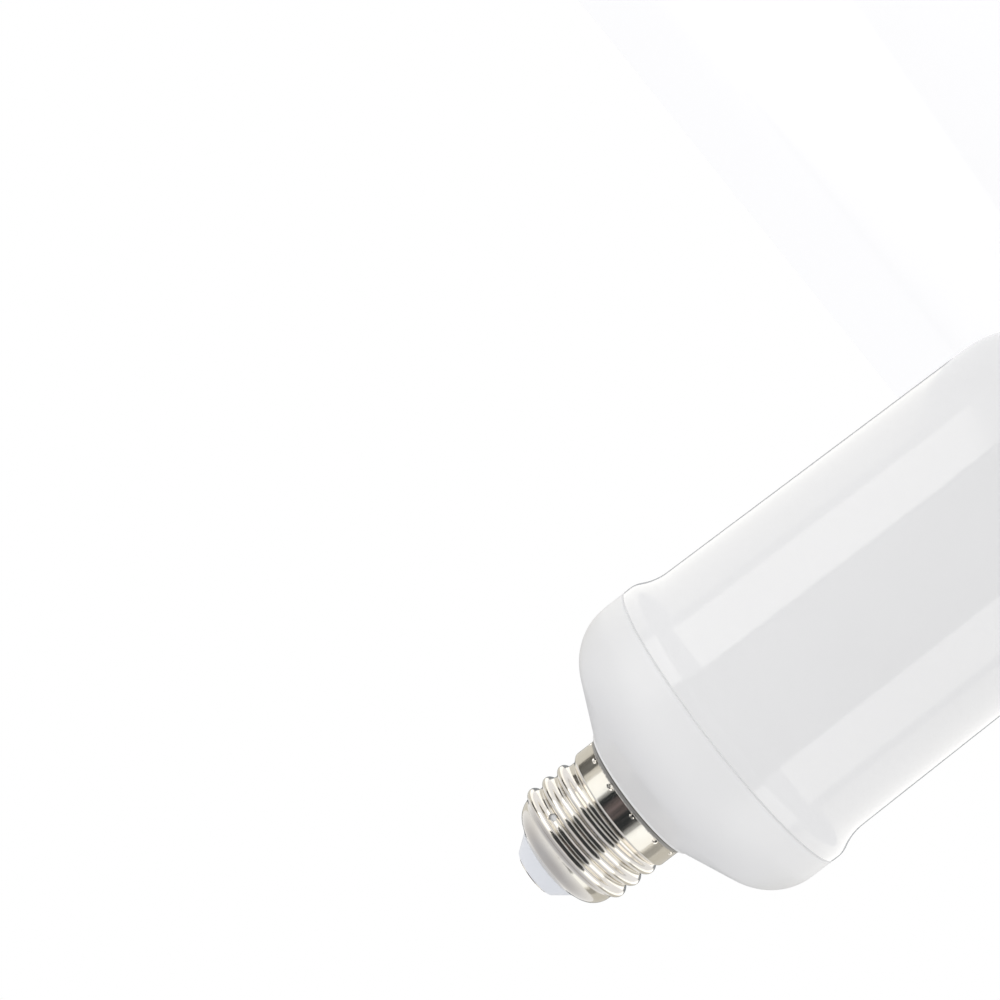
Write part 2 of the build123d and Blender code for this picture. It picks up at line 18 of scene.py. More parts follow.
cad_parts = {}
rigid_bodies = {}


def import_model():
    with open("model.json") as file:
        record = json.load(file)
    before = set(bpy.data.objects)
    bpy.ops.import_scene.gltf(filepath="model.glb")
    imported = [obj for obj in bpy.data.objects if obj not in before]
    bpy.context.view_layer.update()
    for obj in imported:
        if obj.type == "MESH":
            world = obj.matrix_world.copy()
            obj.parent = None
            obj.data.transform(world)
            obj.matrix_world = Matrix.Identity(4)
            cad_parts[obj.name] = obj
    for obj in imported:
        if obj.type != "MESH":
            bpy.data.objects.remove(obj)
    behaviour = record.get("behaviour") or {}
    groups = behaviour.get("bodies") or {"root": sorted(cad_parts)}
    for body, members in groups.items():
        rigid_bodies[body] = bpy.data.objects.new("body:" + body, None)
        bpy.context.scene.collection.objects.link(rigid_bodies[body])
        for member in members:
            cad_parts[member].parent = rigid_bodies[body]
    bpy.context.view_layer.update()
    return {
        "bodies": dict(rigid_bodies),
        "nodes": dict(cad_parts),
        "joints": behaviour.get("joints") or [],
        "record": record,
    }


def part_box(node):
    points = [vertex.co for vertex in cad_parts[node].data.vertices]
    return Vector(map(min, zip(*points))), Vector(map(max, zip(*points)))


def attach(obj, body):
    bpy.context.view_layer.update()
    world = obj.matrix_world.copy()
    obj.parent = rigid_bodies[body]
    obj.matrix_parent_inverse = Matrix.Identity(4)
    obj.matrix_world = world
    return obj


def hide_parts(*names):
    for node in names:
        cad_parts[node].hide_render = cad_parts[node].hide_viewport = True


LOG = logging.getLogger("bulb")
MM = 0.001
TINY = 1e-6
SHARP_DEGREES = 30.0
OVER_CUT = 1.0
ROOT = "root"

Pair = tuple[float, float]
Place = tuple[float, float, float]
Color = tuple[float, float, float]
Span = tuple[list[Vector], list[Vector]]
Piece = bpy.types.Object
Socket = bpy.types.NodeSocket
Nodes = bpy.types.NodeTree

ALONG_X, ALONG_Y, UP = (Vector(axis) for axis in ((1, 0, 0), (0, 1, 0), (0, 0, 1)))


@dataclass(frozen=True)
class Corner:
    """A corner of an outline, in millimetres.

    Args:
        r: Distance from the axis.
        z: Height over the head.
        fillet: Radius that rounds the corner, or 0 for a sharp one.
    """

    r: float
    z: float
    fillet: float = 0.0


def rounded(corners: Sequence[Corner], degrees: float = 4.0) -> list[Pair]:
    """Trace an outline, with an arc at each corner that has a fillet.

    Args:
        corners: The outline's corners in order.
        degrees: The largest turn between two points of an arc.

    Returns:
        The outline's points as radius and height.
    """
    points: list[Pair] = []
    for place, corner in enumerate(corners):
        here = Vector((corner.r, corner.z))
        if corner.fillet == 0 or place in (0, len(corners) - 1):
            points.append((here.x, here.y))
            continue
        before = Vector((corners[place - 1].r, corners[place - 1].z)) - here
        after = Vector((corners[place + 1].r, corners[place + 1].z)) - here
        before.normalize()
        after.normalize()
        opening = before.angle(after)
        reach = corner.fillet / math.tan(opening / 2)
        centre = here + (before + after).normalized() * (corner.fillet / math.sin(opening / 2))
        start = here + before * reach - centre
        end = here + after * reach - centre
        turn = start.angle_signed(end)
        steps = max(2, math.ceil(abs(math.degrees(turn)) / degrees))
        for step in range(steps + 1):
            spoke = start.copy()
            spoke.rotate(Matrix.Rotation(-turn * step / steps, 2))
            points.append(tuple(centre + spoke))
    return points


def inset(corners: Sequence[Corner], depth: float) -> list[Corner]:
    """Move an outline to its left, with its fillets made to follow.

    Args:
        corners: The outline's corners in order, with a fillet at each but the two ends.
        depth: How far it moves, in millimetres.

    Returns:
        The moved corners.
    """
    spots = [Vector((corner.r, corner.z)) for corner in corners]
    lines = [(end - start).normalized() for start, end in zip(spots, spots[1:])]
    sides = [Vector((-line.y, line.x)) for line in lines]
    moved = [Corner(*(spots[0] + sides[0] * depth))]
    for place, (before, after) in enumerate(zip(sides, sides[1:]), start=1):
        middle = (before + after).normalized()
        spot = spots[place] + middle * (depth / middle.dot(after))
        bends_left = before.x * after.y > before.y * after.x
        fillet = corners[place].fillet + (-depth if bends_left else depth)
        moved.append(Corner(*spot, max(0.0, fillet)))
    moved.append(Corner(*(spots[-1] + sides[-1] * depth)))
    return moved


def new_object(name: str, data: bpy.types.ID) -> Piece:
    """Link a new object to the scene, at the origin.

    Args:
        name: The object's name.
        data: Its mesh, light or camera.

    Returns:
        The new object.
    """
    made = bpy.data.objects.new(name, data)
    bpy.context.scene.collection.objects.link(made)
    return made


def closed_piece(name: str, bm: bmesh.types.BMesh) -> Piece:
    """Make a piece of closed faces, with their normals outwards.

    Args:
        name: The piece's name.
        bm: Its faces, in metres, which are freed.

    Returns:
        The piece.
    """
    bmesh.ops.recalc_face_normals(bm, faces=bm.faces)
    mesh = bpy.data.meshes.new(name)
    bm.to_mesh(mesh)
    bm.free()
    return new_object(name, mesh)


def lathe(name: str, outline: Sequence[Pair], columns: int, closed: bool) -> Piece:
    """Turn an outline round the axis into a closed solid.

    Args:
        name: The piece's name.
        outline: Points of radius and height in millimetres.
        columns: How many faces go round the axis.
        closed: Whether the outline's last point joins its first.

    Returns:
        The turned piece.
    """
    bm = bmesh.new()
    turns = [2 * math.pi * column / columns for column in range(columns)]
    rings = []
    for r, z in outline:
        around = turns if r > TINY else turns[:1]
        rings.append([bm.verts.new((r * MM * math.cos(a), r * MM * math.sin(a), z * MM)) for a in around])
    pairs = list(zip(rings, rings[1:] + rings[:1]))
    for lower, upper in pairs if closed else pairs[:-1]:
        for column in range(columns):
            after = (column + 1) % columns
            corners = [lower[column % len(lower)], lower[after % len(lower)]]
            corners += [upper[after % len(upper)], upper[column % len(upper)]]
            ring = [v for place, v in enumerate(corners) if v not in corners[:place]]
            if len(ring) > 2:
                bm.faces.new(ring)
    return closed_piece(name, bm)


def directions(degrees: float) -> tuple[Vector, Vector]:
    """Give the directions away from the axis and round it, at an angle from +X."""
    turn = math.radians(degrees)
    return Vector((math.cos(turn), math.sin(turn), 0)), Vector((-math.sin(turn), math.cos(turn), 0))


def circle(centre: Vector, side: Vector, up: Vector, radius: float, steps: int) -> list[Vector]:
    """Give points round a circle in the plane of two directions, from the first towards the second."""
    turns = [2 * math.pi * step / steps for step in range(steps)]
    return [centre + side * (radius * math.cos(a)) + up * (radius * math.sin(a)) for a in turns]


def block(low: Place, high: Place) -> Span:
    """Give the loops of an upright block's lower and upper face, from its lowest and highest corners."""
    around = ((low[0], low[1]), (high[0], low[1]), (high[0], high[1]), (low[0], high[1]))
    return [Vector((x, y, low[2])) for x, y in around], [Vector((x, y, high[2])) for x, y in around]


def solids(name: str, spans: Sequence[Span]) -> Piece:
    """Make closed solids, each between two loops of points.

    Args:
        name: The object's name.
        spans: The two loops of each solid, in millimetres.

    Returns:
        One object that holds them all.
    """
    bm = bmesh.new()
    for start, end in spans:
        low, high = ([bm.verts.new(spot * MM) for spot in loop] for loop in (start, end))
        bm.faces.new(low)
        bm.faces.new(high)
        for here in range(len(low)):
            after = (here + 1) % len(low)
            bm.faces.new((low[here], low[after], high[after], high[here]))
    return closed_piece(name, bm)


def baked(piece: Piece) -> bpy.types.Mesh:
    """Take the mesh that a piece's modifiers give, and remove them.

    Args:
        piece: The piece.

    Returns:
        The plain mesh.
    """
    graph = bpy.context.evaluated_depsgraph_get()
    mesh = bpy.data.meshes.new_from_object(piece.evaluated_get(graph))
    piece.modifiers.clear()
    return mesh


def combine(piece: Piece, tool: Piece, operation: str) -> None:
    """Join solids to a piece or cut them away, and remove them.

    Args:
        piece: The piece to change.
        tool: The solids to join or to cut with.
        operation: UNION or DIFFERENCE.
    """
    change = piece.modifiers.new(tool.name, "BOOLEAN")
    change.operation = operation
    change.solver = "EXACT"
    change.object = tool
    piece.data = baked(piece)
    bpy.data.objects.remove(tool)
    bm = bmesh.new()
    bm.from_mesh(piece.data)
    bmesh.ops.dissolve_degenerate(bm, dist=TINY, edges=bm.edges)
    bm.to_mesh(piece.data)
    bm.free()


def feed(tree: Nodes, socket: Socket, value: object) -> None:
    """Link a node's input to a socket, or set its value.

    Args:
        tree: The nodes.
        socket: The input.
        value: A socket, a number of a tree or a plain value.
    """
    if isinstance(value, Value):
        value = value.socket
    if isinstance(value, Socket):
        tree.links.new(value, socket)
    else:
        socket.default_value = value


def add(
    tree: Nodes, kind: str, settings: dict[str, object] | None = None, **inputs: object
) -> bpy.types.Node:
    """Add a node, with values or sockets on its inputs.

    Args:
        tree: The nodes to add to.
        kind: The node's type.
        settings: Properties of the node.
        **inputs: Values or sockets by the inputs' names, with spaces as underscores.

    Returns:
        The node.
    """
    made = tree.nodes.new(kind)
    for key, value in (settings or {}).items():
        setattr(made, key, value)
    for key, value in inputs.items():
        feed(tree, made.inputs[key.replace("_", " ")], value)
    return made


def dress_shader(tree: Nodes, looks: dict[str, object]) -> None:
    """Set or link inputs of a material's main shader, by their names."""
    for name, value in looks.items():
        feed(tree, tree.nodes["Principled BSDF"].inputs[name], value)


def ramp(tree: Nodes, value: Socket, stops: Pair, colors: tuple[Color, Color]) -> Socket:
    """Turn a value into a colour between two.

    Args:
        tree: The nodes to add to.
        value: What is measured.
        stops: The values that give the two colours.
        colors: The two colours.

    Returns:
        The colour.
    """
    made = add(tree, "ShaderNodeValToRGB", Fac=value)
    for element, stop, color in zip(made.color_ramp.elements, stops, colors):
        element.position = stop
        element.color = (*color, 1)
    return made.outputs["Color"]


class Grain(Enum):
    """How a finish's fine pattern lies on the surface."""

    EVEN = (1.0, 1.0, 1.0)
    ALONG_AXIS = (1.0, 1.0, 0.03)


@dataclass(frozen=True)
class Finish:
    """A surface's look, from soft patches of colour down to its fine grain.

    Args:
        name: The material's name.
        color: Main colour, linear.
        second: Colour of the patches that lie over the main one.
        roughness: Lowest and highest roughness across the grain.
        metallic: 0 for plastic, 1 for metal.
        patch: Size of the patches, in millimetres.
        grain: Size of the fine grain, in millimetres.
        bump: Height of the fine grain, in millimetres.
        lie: How the fine grain lies.
        specular: Strength of the mirror-like part, 0.5 being the usual one.
        coat: Weight of a clear gloss over the surface.
        coat_roughness: Roughness of that gloss.
        detail: How many finer layers the patterns have.
        contrast: The part of a pattern's range that is used.
        worn_z: Height up to which the surface is worn, in millimetres, or 0 for none.
        worn_color: Colour of the worn part.
        worn_roughness: Its roughness.
        worn_fade: Width of the fade at its edge, in millimetres.
        worn_ragged: How uneven that edge is, in millimetres.
        worn_grain: Size of that unevenness, in millimetres.
    """

    name: str
    color: Color
    second: Color
    roughness: Pair
    metallic: float = 0.0
    patch: float = 12.0
    grain: float = 0.6
    bump: float = 0.004
    lie: Grain = Grain.EVEN
    specular: float = 0.5
    coat: float = 0.0
    coat_roughness: float = 0.35
    detail: float = 3.0
    contrast: Pair = (0.3, 0.7)
    worn_z: float = 0.0
    worn_color: Color = (0.36, 0.35, 0.33)
    worn_roughness: float = 0.45
    worn_fade: float = 0.25
    worn_ragged: float = 0.35
    worn_grain: float = 0.3

    def build(self) -> bpy.types.Material:
        """Make the material's nodes.

        Returns:
            The material.
        """
        material = bpy.data.materials.new(self.name)
        material.use_nodes = True
        tree = material.node_tree
        place = add(tree, "ShaderNodeTexCoord").outputs["Object"]
        patches = self.noise(tree, place, self.patch, Grain.EVEN)
        fine = self.noise(tree, place, self.grain, self.lie)
        colors = {"A": (*self.color, 1), "B": (*self.second, 1)}
        color = add(tree, "ShaderNodeMix", {"data_type": "RGBA"}, Factor=patches, **colors).outputs["Result"]
        low, high = self.roughness
        dullness = add(tree, "ShaderNodeMapRange", Value=fine, To_Min=low, To_Max=high).outputs["Result"]
        if self.worn_z:
            color, dullness = self.wear(tree, place, color, dullness)
        relief = add(tree, "ShaderNodeBump", Strength=1.0, Distance=self.bump * MM, Height=fine)
        dress_shader(tree, {
            "Base Color": color,
            "Roughness": dullness,
            "Normal": relief.outputs["Normal"],
            "Metallic": self.metallic,
            "Specular IOR Level": self.specular,
            "Coat Weight": self.coat,
            "Coat Roughness": self.coat_roughness,
        })
        return material

    def wear(self, tree: Nodes, place: Socket, color: Socket, dullness: Socket) -> tuple[Socket, Socket]:
        """Dull the surface up to an uneven edge round the axis.

        Args:
            tree: The material's nodes.
            place: The surface's own coordinates.
            color: The colour over the edge.
            dullness: The roughness over the edge.

        Returns:
            The colour and the roughness with the worn part in them.
        """
        height = add(tree, "ShaderNodeSeparateXYZ", Vector=place).outputs["Z"]
        uneven = self.noise(tree, place, self.worn_grain, Grain.EVEN)
        ragged = add(tree, "ShaderNodeMath", {"operation": "MULTIPLY_ADD"})
        for socket, value in zip(ragged.inputs, (uneven, self.worn_ragged * MM, height)):
            feed(tree, socket, value)
        edges = {"From_Min": self.worn_z * MM, "From_Max": (self.worn_z - self.worn_fade) * MM}
        share = add(tree, "ShaderNodeMapRange", Value=ragged.outputs[0], **edges).outputs["Result"]
        worn_color = (*self.worn_color, 1)
        worn = add(tree, "ShaderNodeMix", {"data_type": "RGBA"}, Factor=share, A=color, B=worn_color)
        dull = add(tree, "ShaderNodeMix", Factor=share, A=dullness, B=self.worn_roughness)
        return worn.outputs["Result"], dull.outputs["Result"]

    def noise(self, tree: Nodes, place: Socket, size: float, lie: Grain) -> Socket:
        """Add a noise pattern of one size.

        Args:
            tree: The material's nodes.
            place: The surface's own coordinates.
            size: The pattern's size, in millimetres.
            lie: How the pattern lies.

        Returns:
            The pattern, from 0 to 1.
        """
        spot = add(tree, "ShaderNodeMapping", Vector=place, Scale=lie.value).outputs["Vector"]
        pattern = add(tree, "ShaderNodeTexNoise", Vector=spot, Scale=1 / (size * MM), Detail=self.detail)
        low, high = self.contrast
        stretch = add(tree, "ShaderNodeMapRange", Value=pattern.outputs["Fac"], From_Min=low, From_Max=high)
        return stretch.outputs["Result"]


def sleeve(name: str, color: Color, second: Color) -> Finish:
    """Give the finish of a lead's sleeve, by its name and its two colours."""
    return Finish(name, color, second, (0.3, 0.4), patch=3.0, grain=0.3)


class Finishes:
    """Every finish of the bulb, each made once and kept by its slot in the record."""

    table = {
        "opal_plastic": Finish(
            "opal_diffuser", (0.795, 0.795, 0.795), (0.78, 0.78, 0.78), (0.07, 0.1), patch=30, grain=3.0
        ),
        "white_plastic": Finish(
            "white_housing", (0.79, 0.79, 0.79), (0.775, 0.775, 0.775), (0.34, 0.42), patch=16, grain=0.8,
            bump=0.002, specular=0.2, coat=0.18
        ),
        "nickel_plate": Finish(
            "nickel_shell", (0.78, 0.755, 0.71), (0.74, 0.7, 0.64), (0.07, 0.2), metallic=1.0, patch=5.0,
            grain=0.12, bump=0.0006, lie=Grain.ALONG_AXIS, worn_z=116.9
        ),
        "insulator_plastic": Finish(
            "white_insulator", (0.8, 0.82, 0.86), (0.77, 0.79, 0.83), (0.3, 0.42), patch=6.0, grain=0.4,
            bump=0.002
        ),
        "contact_metal": Finish(
            "nickel_contact", (0.76, 0.73, 0.68), (0.66, 0.6, 0.52), (0.12, 0.3), metallic=1.0, patch=2.0,
            grain=0.1, bump=0.001
        ),
        "screw_steel": Finish(
            "zinc_screws", (0.62, 0.62, 0.64), (0.5, 0.5, 0.53), (0.25, 0.4), metallic=1.0, patch=2.0,
            grain=0.2
        ),
        "flex_board": Finish(
            "white_solder_mask", (0.86, 0.86, 0.83), (0.8, 0.8, 0.77), (0.3, 0.4), patch=10, grain=0.5
        ),
        "circuit_board": Finish(
            "green_solder_mask", (0.02, 0.16, 0.06), (0.015, 0.11, 0.045), (0.25, 0.4), patch=3.0, grain=0.3
        ),
        "chip_plastic": Finish(
            "black_moulding", (0.02, 0.02, 0.022), (0.035, 0.035, 0.037), (0.45, 0.65), patch=1.5, grain=0.15
        ),
        "capacitor_sleeve": Finish(
            "dark_sleeve", (0.015, 0.02, 0.05), (0.02, 0.03, 0.07), (0.2, 0.3), patch=4.0, grain=0.4
        ),
        "ferrite": Finish(
            "grey_ferrite", (0.06, 0.06, 0.065), (0.09, 0.09, 0.095), (0.6, 0.8), patch=1.5, grain=0.2,
            bump=0.01
        ),
        "resistor_ceramic": Finish(
            "green_lacquer", (0.07, 0.2, 0.1), (0.06, 0.16, 0.08), (0.15, 0.25), patch=2.0, grain=0.4
        ),
        "led_package": Finish(
            "yellow_phosphor", (0.85, 0.62, 0.12), (0.8, 0.55, 0.08), (0.2, 0.3), patch=1.0, grain=0.3
        ),
        "lead_red": sleeve("red_sleeve", (0.5, 0.02, 0.015), (0.42, 0.015, 0.01)),
        "lead_white": sleeve("white_sleeve", (0.75, 0.75, 0.74), (0.7, 0.7, 0.69)),
        "lead_black": sleeve("black_sleeve", (0.02, 0.02, 0.02), (0.03, 0.03, 0.03)),
    }

    def __init__(self) -> None:
        """Start with no material made."""
        self.made: dict[str, bpy.types.Material] = {}

    def get(self, slot: str) -> bpy.types.Material:
        """Give a slot's material, made on its first use.

        Args:
            slot: The record's material slot.

        Returns:
            The material.
        """
        if slot not in self.made:
            self.made[slot] = self.table[slot].build()
        return self.made[slot]

    def dress(self, piece: Piece, slot: str) -> None:
        """Give a piece one finish all over."""
        piece.data.materials.clear()
        piece.data.materials.append(self.get(slot))

    def place(self, piece: Piece, node: str, slot: str, sharp: float = SHARP_DEGREES) -> None:
        """Shade and dress a finished piece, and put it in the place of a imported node.

        Args:
            piece: The finished piece.
            node: The node that it stands for.
            slot: The record's material slot.
            sharp: The angle past which an edge stays sharp, in degrees.
        """
        piece.data.polygons.foreach_set("use_smooth", [True] * len(piece.data.polygons))
        piece.data.set_sharp_from_angle(angle=math.radians(sharp))
        self.dress(piece, slot)
        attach(piece, ROOT)
        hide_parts(node)


@dataclass(frozen=True)
class Crimps:
    """The ring of crimps that hold the shell on the housing's collar.

    Args:
        count: How many there are.
        turn: Angle of the first one, in degrees.
        over_lip: Their height over the housing's lip.
    """

    count: int = 12
    turn: float = -71.2
    over_lip: float = 1.25


@dataclass
class Cover:
    """The opal diffuser, a straight tube with a rounded flat head and a flared foot.

    Args:
        head_r: Radius of the tube at the head.
        foot_r: Radius of the tube at the flare.
        head_fillet: Radius that rounds the head.
        rim_h: Height of the straight rim.
        flare_h: Height of the flare.
        flare_in: Radius of the flare's hollow bend.
        flare_out: Radius of the flare's outer bend.
        bevel: Size of the bevel at the seam.
        wall: Thickness of the wall.
        web: Thickness of the web between the rim and the spigot.
        spigot_r: Radius of the ring that enters the housing.
        spigot_wall: Thickness of that ring.
        columns: How many faces go round the axis.
    """

    head_r: float = 27.6
    foot_r: float = 29.6
    head_fillet: float = 17.0
    rim_h: float = 2.5
    flare_h: float = 3.65
    flare_in: float = 11.10
    flare_out: float = 4.373
    bevel: float = 0.25
    wall: float = 1.3
    web: float = 1.2
    spigot_r: float = 29.6
    spigot_wall: float = 1.2
    columns: int = 256

    def outline(self, rim_r: float, seam_z: float, top_z: float) -> list[Pair]:
        """Trace the wall's section.

        Args:
            rim_r: Radius of the rim.
            seam_z: Height of the seam.
            top_z: Height of the spigot's end.

        Returns:
            The section's points, from the head's middle outside to its middle inside.
        """
        flare_top = seam_z - self.rim_h
        outer = [
            Corner(0, 0),
            Corner(self.head_r, 0, self.head_fillet),
            Corner(self.foot_r, flare_top - self.flare_h, self.flare_in),
            Corner(rim_r, flare_top, self.flare_out),
            Corner(rim_r, seam_z - self.bevel),
        ]
        spigot = [
            Corner(rim_r - self.bevel, seam_z),
            Corner(self.spigot_r, seam_z),
            Corner(self.spigot_r, top_z),
            Corner(self.spigot_r - self.spigot_wall, top_z),
            Corner(self.spigot_r - self.spigot_wall, seam_z - self.web),
            Corner(rim_r - self.wall, seam_z - self.web),
        ]
        inner = inset(outer, self.wall)[-2::-1]
        return rounded(outer + spigot + inner)

    def build(self, finishes: Finishes) -> Piece:
        """Make the cover and put it in its node's place.

        Args:
            finishes: The bulb's finishes.

        Returns:
            The piece.
        """
        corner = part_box("diffuser")[1] / MM
        seam_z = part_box("base_housing")[0].z / MM
        piece = lathe("opal_cover", self.outline(corner.x, seam_z, corner.z), self.columns, False)
        finishes.place(piece, "diffuser", "opal_plastic")
        return piece


@dataclass
class Housing:
    """The white cone with its rounded shoulder, its lip and its neck.

    Args:
        shoulder_h: Height of the shoulder's corner over the seam.
        shoulder_fillet: Radius that rounds the shoulder.
        lip_r: Radius of the lip.
        lip_h: Height of the lip's edge.
        lip_over: Height of the lip over the seam.
        lip_round: Radius that rounds the lip's edge.
        wall: Thickness of the wall.
        collar_r: Radius of the collar inside the skirt.
        collar_h: Height of the collar.
        neck_r: Radius of the neck inside the thread.
        neck_wall: Thickness of the neck.
        bevel: Size of the bevel at the seam.
        bosses: How many bosses take the plate's screws.
        boss_turn: Angle of the first boss, in degrees.
        boss_ring: Distance of the bosses from the axis.
        boss_r: Radius of a boss.
        boss_z: Height of the bosses' ends over the seam.
        boss_sides: How many faces go round a boss.
        hole_r: Radius of a boss's hole.
        hole_h: Depth of that hole.
        hole_sides: How many faces go round it.
        guide_in: Distance of the board's guides from the axis.
        guide_out: Distance from the axis at which they end inside the neck's wall.
        guide_gap: Half the gap between the two guides of a side.
        guide_t: Thickness of a guide.
        guide_low: Depth of the guides' lower ends under the neck's end.
        guide_high: Depth of their upper ends.
        crimps: The shell's crimps, which each have a pocket.
        pocket_r: Radius of a pocket.
        pocket_h: Depth of a pocket.
        pocket_sides: How many faces go round a pocket.
        track_x: Distance of the neutral lead's track from the axis.
        track_y: Its offset from the board's plane.
        track_w: Its width.
        track_drop: Depth of its lower end under the neck's end.
        notch_x: Distance from the axis at which the lead's notch through the wall starts.
        notch_drop: Depth of that notch.
        columns: How many faces go round the axis.
    """

    shoulder_h: float = 12.1
    shoulder_fillet: float = 12.0
    lip_r: float = 14.1
    lip_h: float = 0.4
    lip_over: float = 21.3
    lip_round: float = 0.18
    wall: float = 1.8
    collar_r: float = 12.65
    collar_h: float = 3.6
    neck_r: float = 11.65
    neck_wall: float = 1.45
    bevel: float = 0.25
    bosses: int = 3
    boss_turn: float = 90.0
    boss_ring: float = 22.0
    boss_r: float = 3.2
    boss_z: float = 3.9
    boss_sides: int = 48
    hole_r: float = 1.25
    hole_h: float = 6.45
    hole_sides: int = 32
    guide_in: float = 7.9
    guide_out: float = 10.7
    guide_gap: float = 0.9
    guide_t: float = 1.2
    guide_low: float = 14.9
    guide_high: float = 2.9
    crimps: Crimps = Crimps()
    pocket_r: float = 0.9
    pocket_h: float = 0.45
    pocket_sides: int = 24
    track_x: float = 10.63
    track_y: float = 1.25
    track_w: float = 1.1
    track_drop: float = 5.95
    notch_x: float = 8.98
    notch_drop: float = 1.65
    columns: int = 256

    def slope(self, rim_r: float) -> float:
        """Give the cone's rise for each millimetre towards the axis."""
        return (self.lip_over - self.lip_h - self.shoulder_h) / (rim_r - self.lip_r)

    def outline(self, rim_r: float, seam_z: float, top_z: float) -> list[Pair]:
        """Trace the closed section of the wall.

        Args:
            rim_r: Radius at the seam.
            seam_z: Height of the seam.
            top_z: Height of the neck's end.

        Returns:
            The section's points.
        """
        lip_z = seam_z + self.lip_over
        slope = self.slope(rim_r)
        inner_r = rim_r - self.wall
        shoulder_in_z = seam_z + self.shoulder_h + slope * self.wall - self.wall * math.hypot(1, slope)
        bore_r = self.neck_r - self.neck_wall
        return rounded([
            Corner(rim_r, seam_z + self.bevel),
            Corner(rim_r, seam_z + self.shoulder_h, self.shoulder_fillet),
            Corner(self.lip_r, lip_z - self.lip_h, self.lip_round),
            Corner(self.lip_r, lip_z, self.lip_round),
            Corner(self.collar_r, lip_z),
            Corner(self.collar_r, lip_z + self.collar_h),
            Corner(self.neck_r, lip_z + self.collar_h + self.collar_r - self.neck_r),
            Corner(self.neck_r, top_z),
            Corner(bore_r, top_z),
            Corner(bore_r, shoulder_in_z + slope * (inner_r - bore_r)),
            Corner(inner_r, shoulder_in_z, self.shoulder_fillet - self.wall),
            Corner(inner_r, seam_z),
            Corner(rim_r - self.bevel, seam_z),
        ])

    def boss_places(self, seam_z: float) -> list[Vector]:
        """Give the middle of each boss's end, from the seam's height."""
        turns = [self.boss_turn + 360 / self.bosses * boss for boss in range(self.bosses)]
        return [directions(turn)[0] * self.boss_ring + UP * (seam_z + self.boss_z) for turn in turns]

    def inner_forms(self, rim_r: float, seam_z: float, top_z: float) -> list[Span]:
        """Give the loops of the screw bosses and of the board's guides.

        Args:
            rim_r: Radius at the seam.
            seam_z: Height of the seam.
            top_z: Height of the neck's end.

        Returns:
            The two loops of each boss and guide.
        """
        slope = self.slope(rim_r)
        half_wall = self.wall * math.hypot(1, slope) / 2
        forms = []
        for place in self.boss_places(seam_z):
            end = circle(place, ALONG_X, ALONG_Y, self.boss_r, self.boss_sides)
            root = [spot.copy() for spot in end]
            for spot in root:
                spot.z = seam_z + self.shoulder_h + slope * (rim_r - spot.xy.length) - half_wall
            forms.append((end, root))
        for side, face in ((-1, -1), (-1, 1), (1, -1), (1, 1)):
            across = sorted((side * self.guide_in, side * self.guide_out))
            beside = sorted((face * self.guide_gap, face * (self.guide_gap + self.guide_t)))
            low = (across[0], beside[0], top_z - self.guide_low)
            forms.append(block(low, (across[1], beside[1], top_z - self.guide_high)))
        return forms

    def hollows(self, seam_z: float, top_z: float) -> list[Span]:
        """Give the loops of the bosses' holes, the crimps' pockets and the neutral lead's track.

        Args:
            seam_z: Height of the seam.
            top_z: Height of the neck's end.

        Returns:
            The two loops of each hollow.
        """
        cuts = []
        for place in self.boss_places(seam_z):
            ends = (place - UP * OVER_CUT, place + UP * self.hole_h)
            cuts.append(tuple(circle(end, ALONG_X, ALONG_Y, self.hole_r, self.hole_sides) for end in ends))
        pocket_z = seam_z + self.lip_over + self.crimps.over_lip
        for pocket in range(self.crimps.count):
            away, side = directions(self.crimps.turn + 360 / self.crimps.count * pocket)
            floor = UP * pocket_z + away * (self.collar_r - self.pocket_h)
            ends = (floor, floor + away * OVER_CUT)
            cuts.append(tuple(circle(end, side, UP, self.pocket_r, self.pocket_sides) for end in ends))
        outside = -self.neck_r - OVER_CUT
        track_z, notch_z, above = top_z - self.track_drop, top_z - self.notch_drop, top_z + OVER_CUT
        step = [(outside, track_z), (-self.track_x, track_z), (-self.track_x, notch_z)]
        step += [(-self.notch_x, notch_z), (-self.notch_x, above), (outside, above)]
        faces = (self.track_y - self.track_w / 2, self.track_y + self.track_w / 2)
        cuts.append(tuple([Vector((x, y, z)) for x, z in step] for y in faces))
        return cuts

    def build(self, finishes: Finishes) -> Piece:
        """Make the housing and put it in its node's place.

        Args:
            finishes: The bulb's finishes.

        Returns:
            The piece.
        """
        low, high = (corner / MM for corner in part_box("base_housing"))
        piece = lathe("coned_housing", self.outline(high.x, low.z, high.z), self.columns, True)
        combine(piece, solids("bosses", self.inner_forms(high.x, low.z, high.z)), "UNION")
        combine(piece, solids("holes", self.hollows(low.z, high.z)), "DIFFERENCE")
        finishes.place(piece, "base_housing", "white_plastic")
        return piece


@dataclass(frozen=True)
class Value:
    """A number inside a Geometry Nodes tree, on which plain arithmetic builds.

    Args:
        tree: The tree.
        socket: The socket that gives the number.
    """

    tree: "Tree"
    socket: Socket

    def __add__(self, other: "Number") -> "Value":
        """Add a number."""
        return self.tree.math("ADD", self, other)

    def __sub__(self, other: "Number") -> "Value":
        """Take a number away."""
        return self.tree.math("SUBTRACT", self, other)

    def __mul__(self, other: "Number") -> "Value":
        """Multiply by a number."""
        return self.tree.math("MULTIPLY", self, other)

    def __truediv__(self, other: "Number") -> "Value":
        """Divide by a number."""
        return self.tree.math("DIVIDE", self, other)

    def root(self) -> "Value":
        """Give the square root."""
        return self.tree.math("SQRT", self)


Number = Value | float


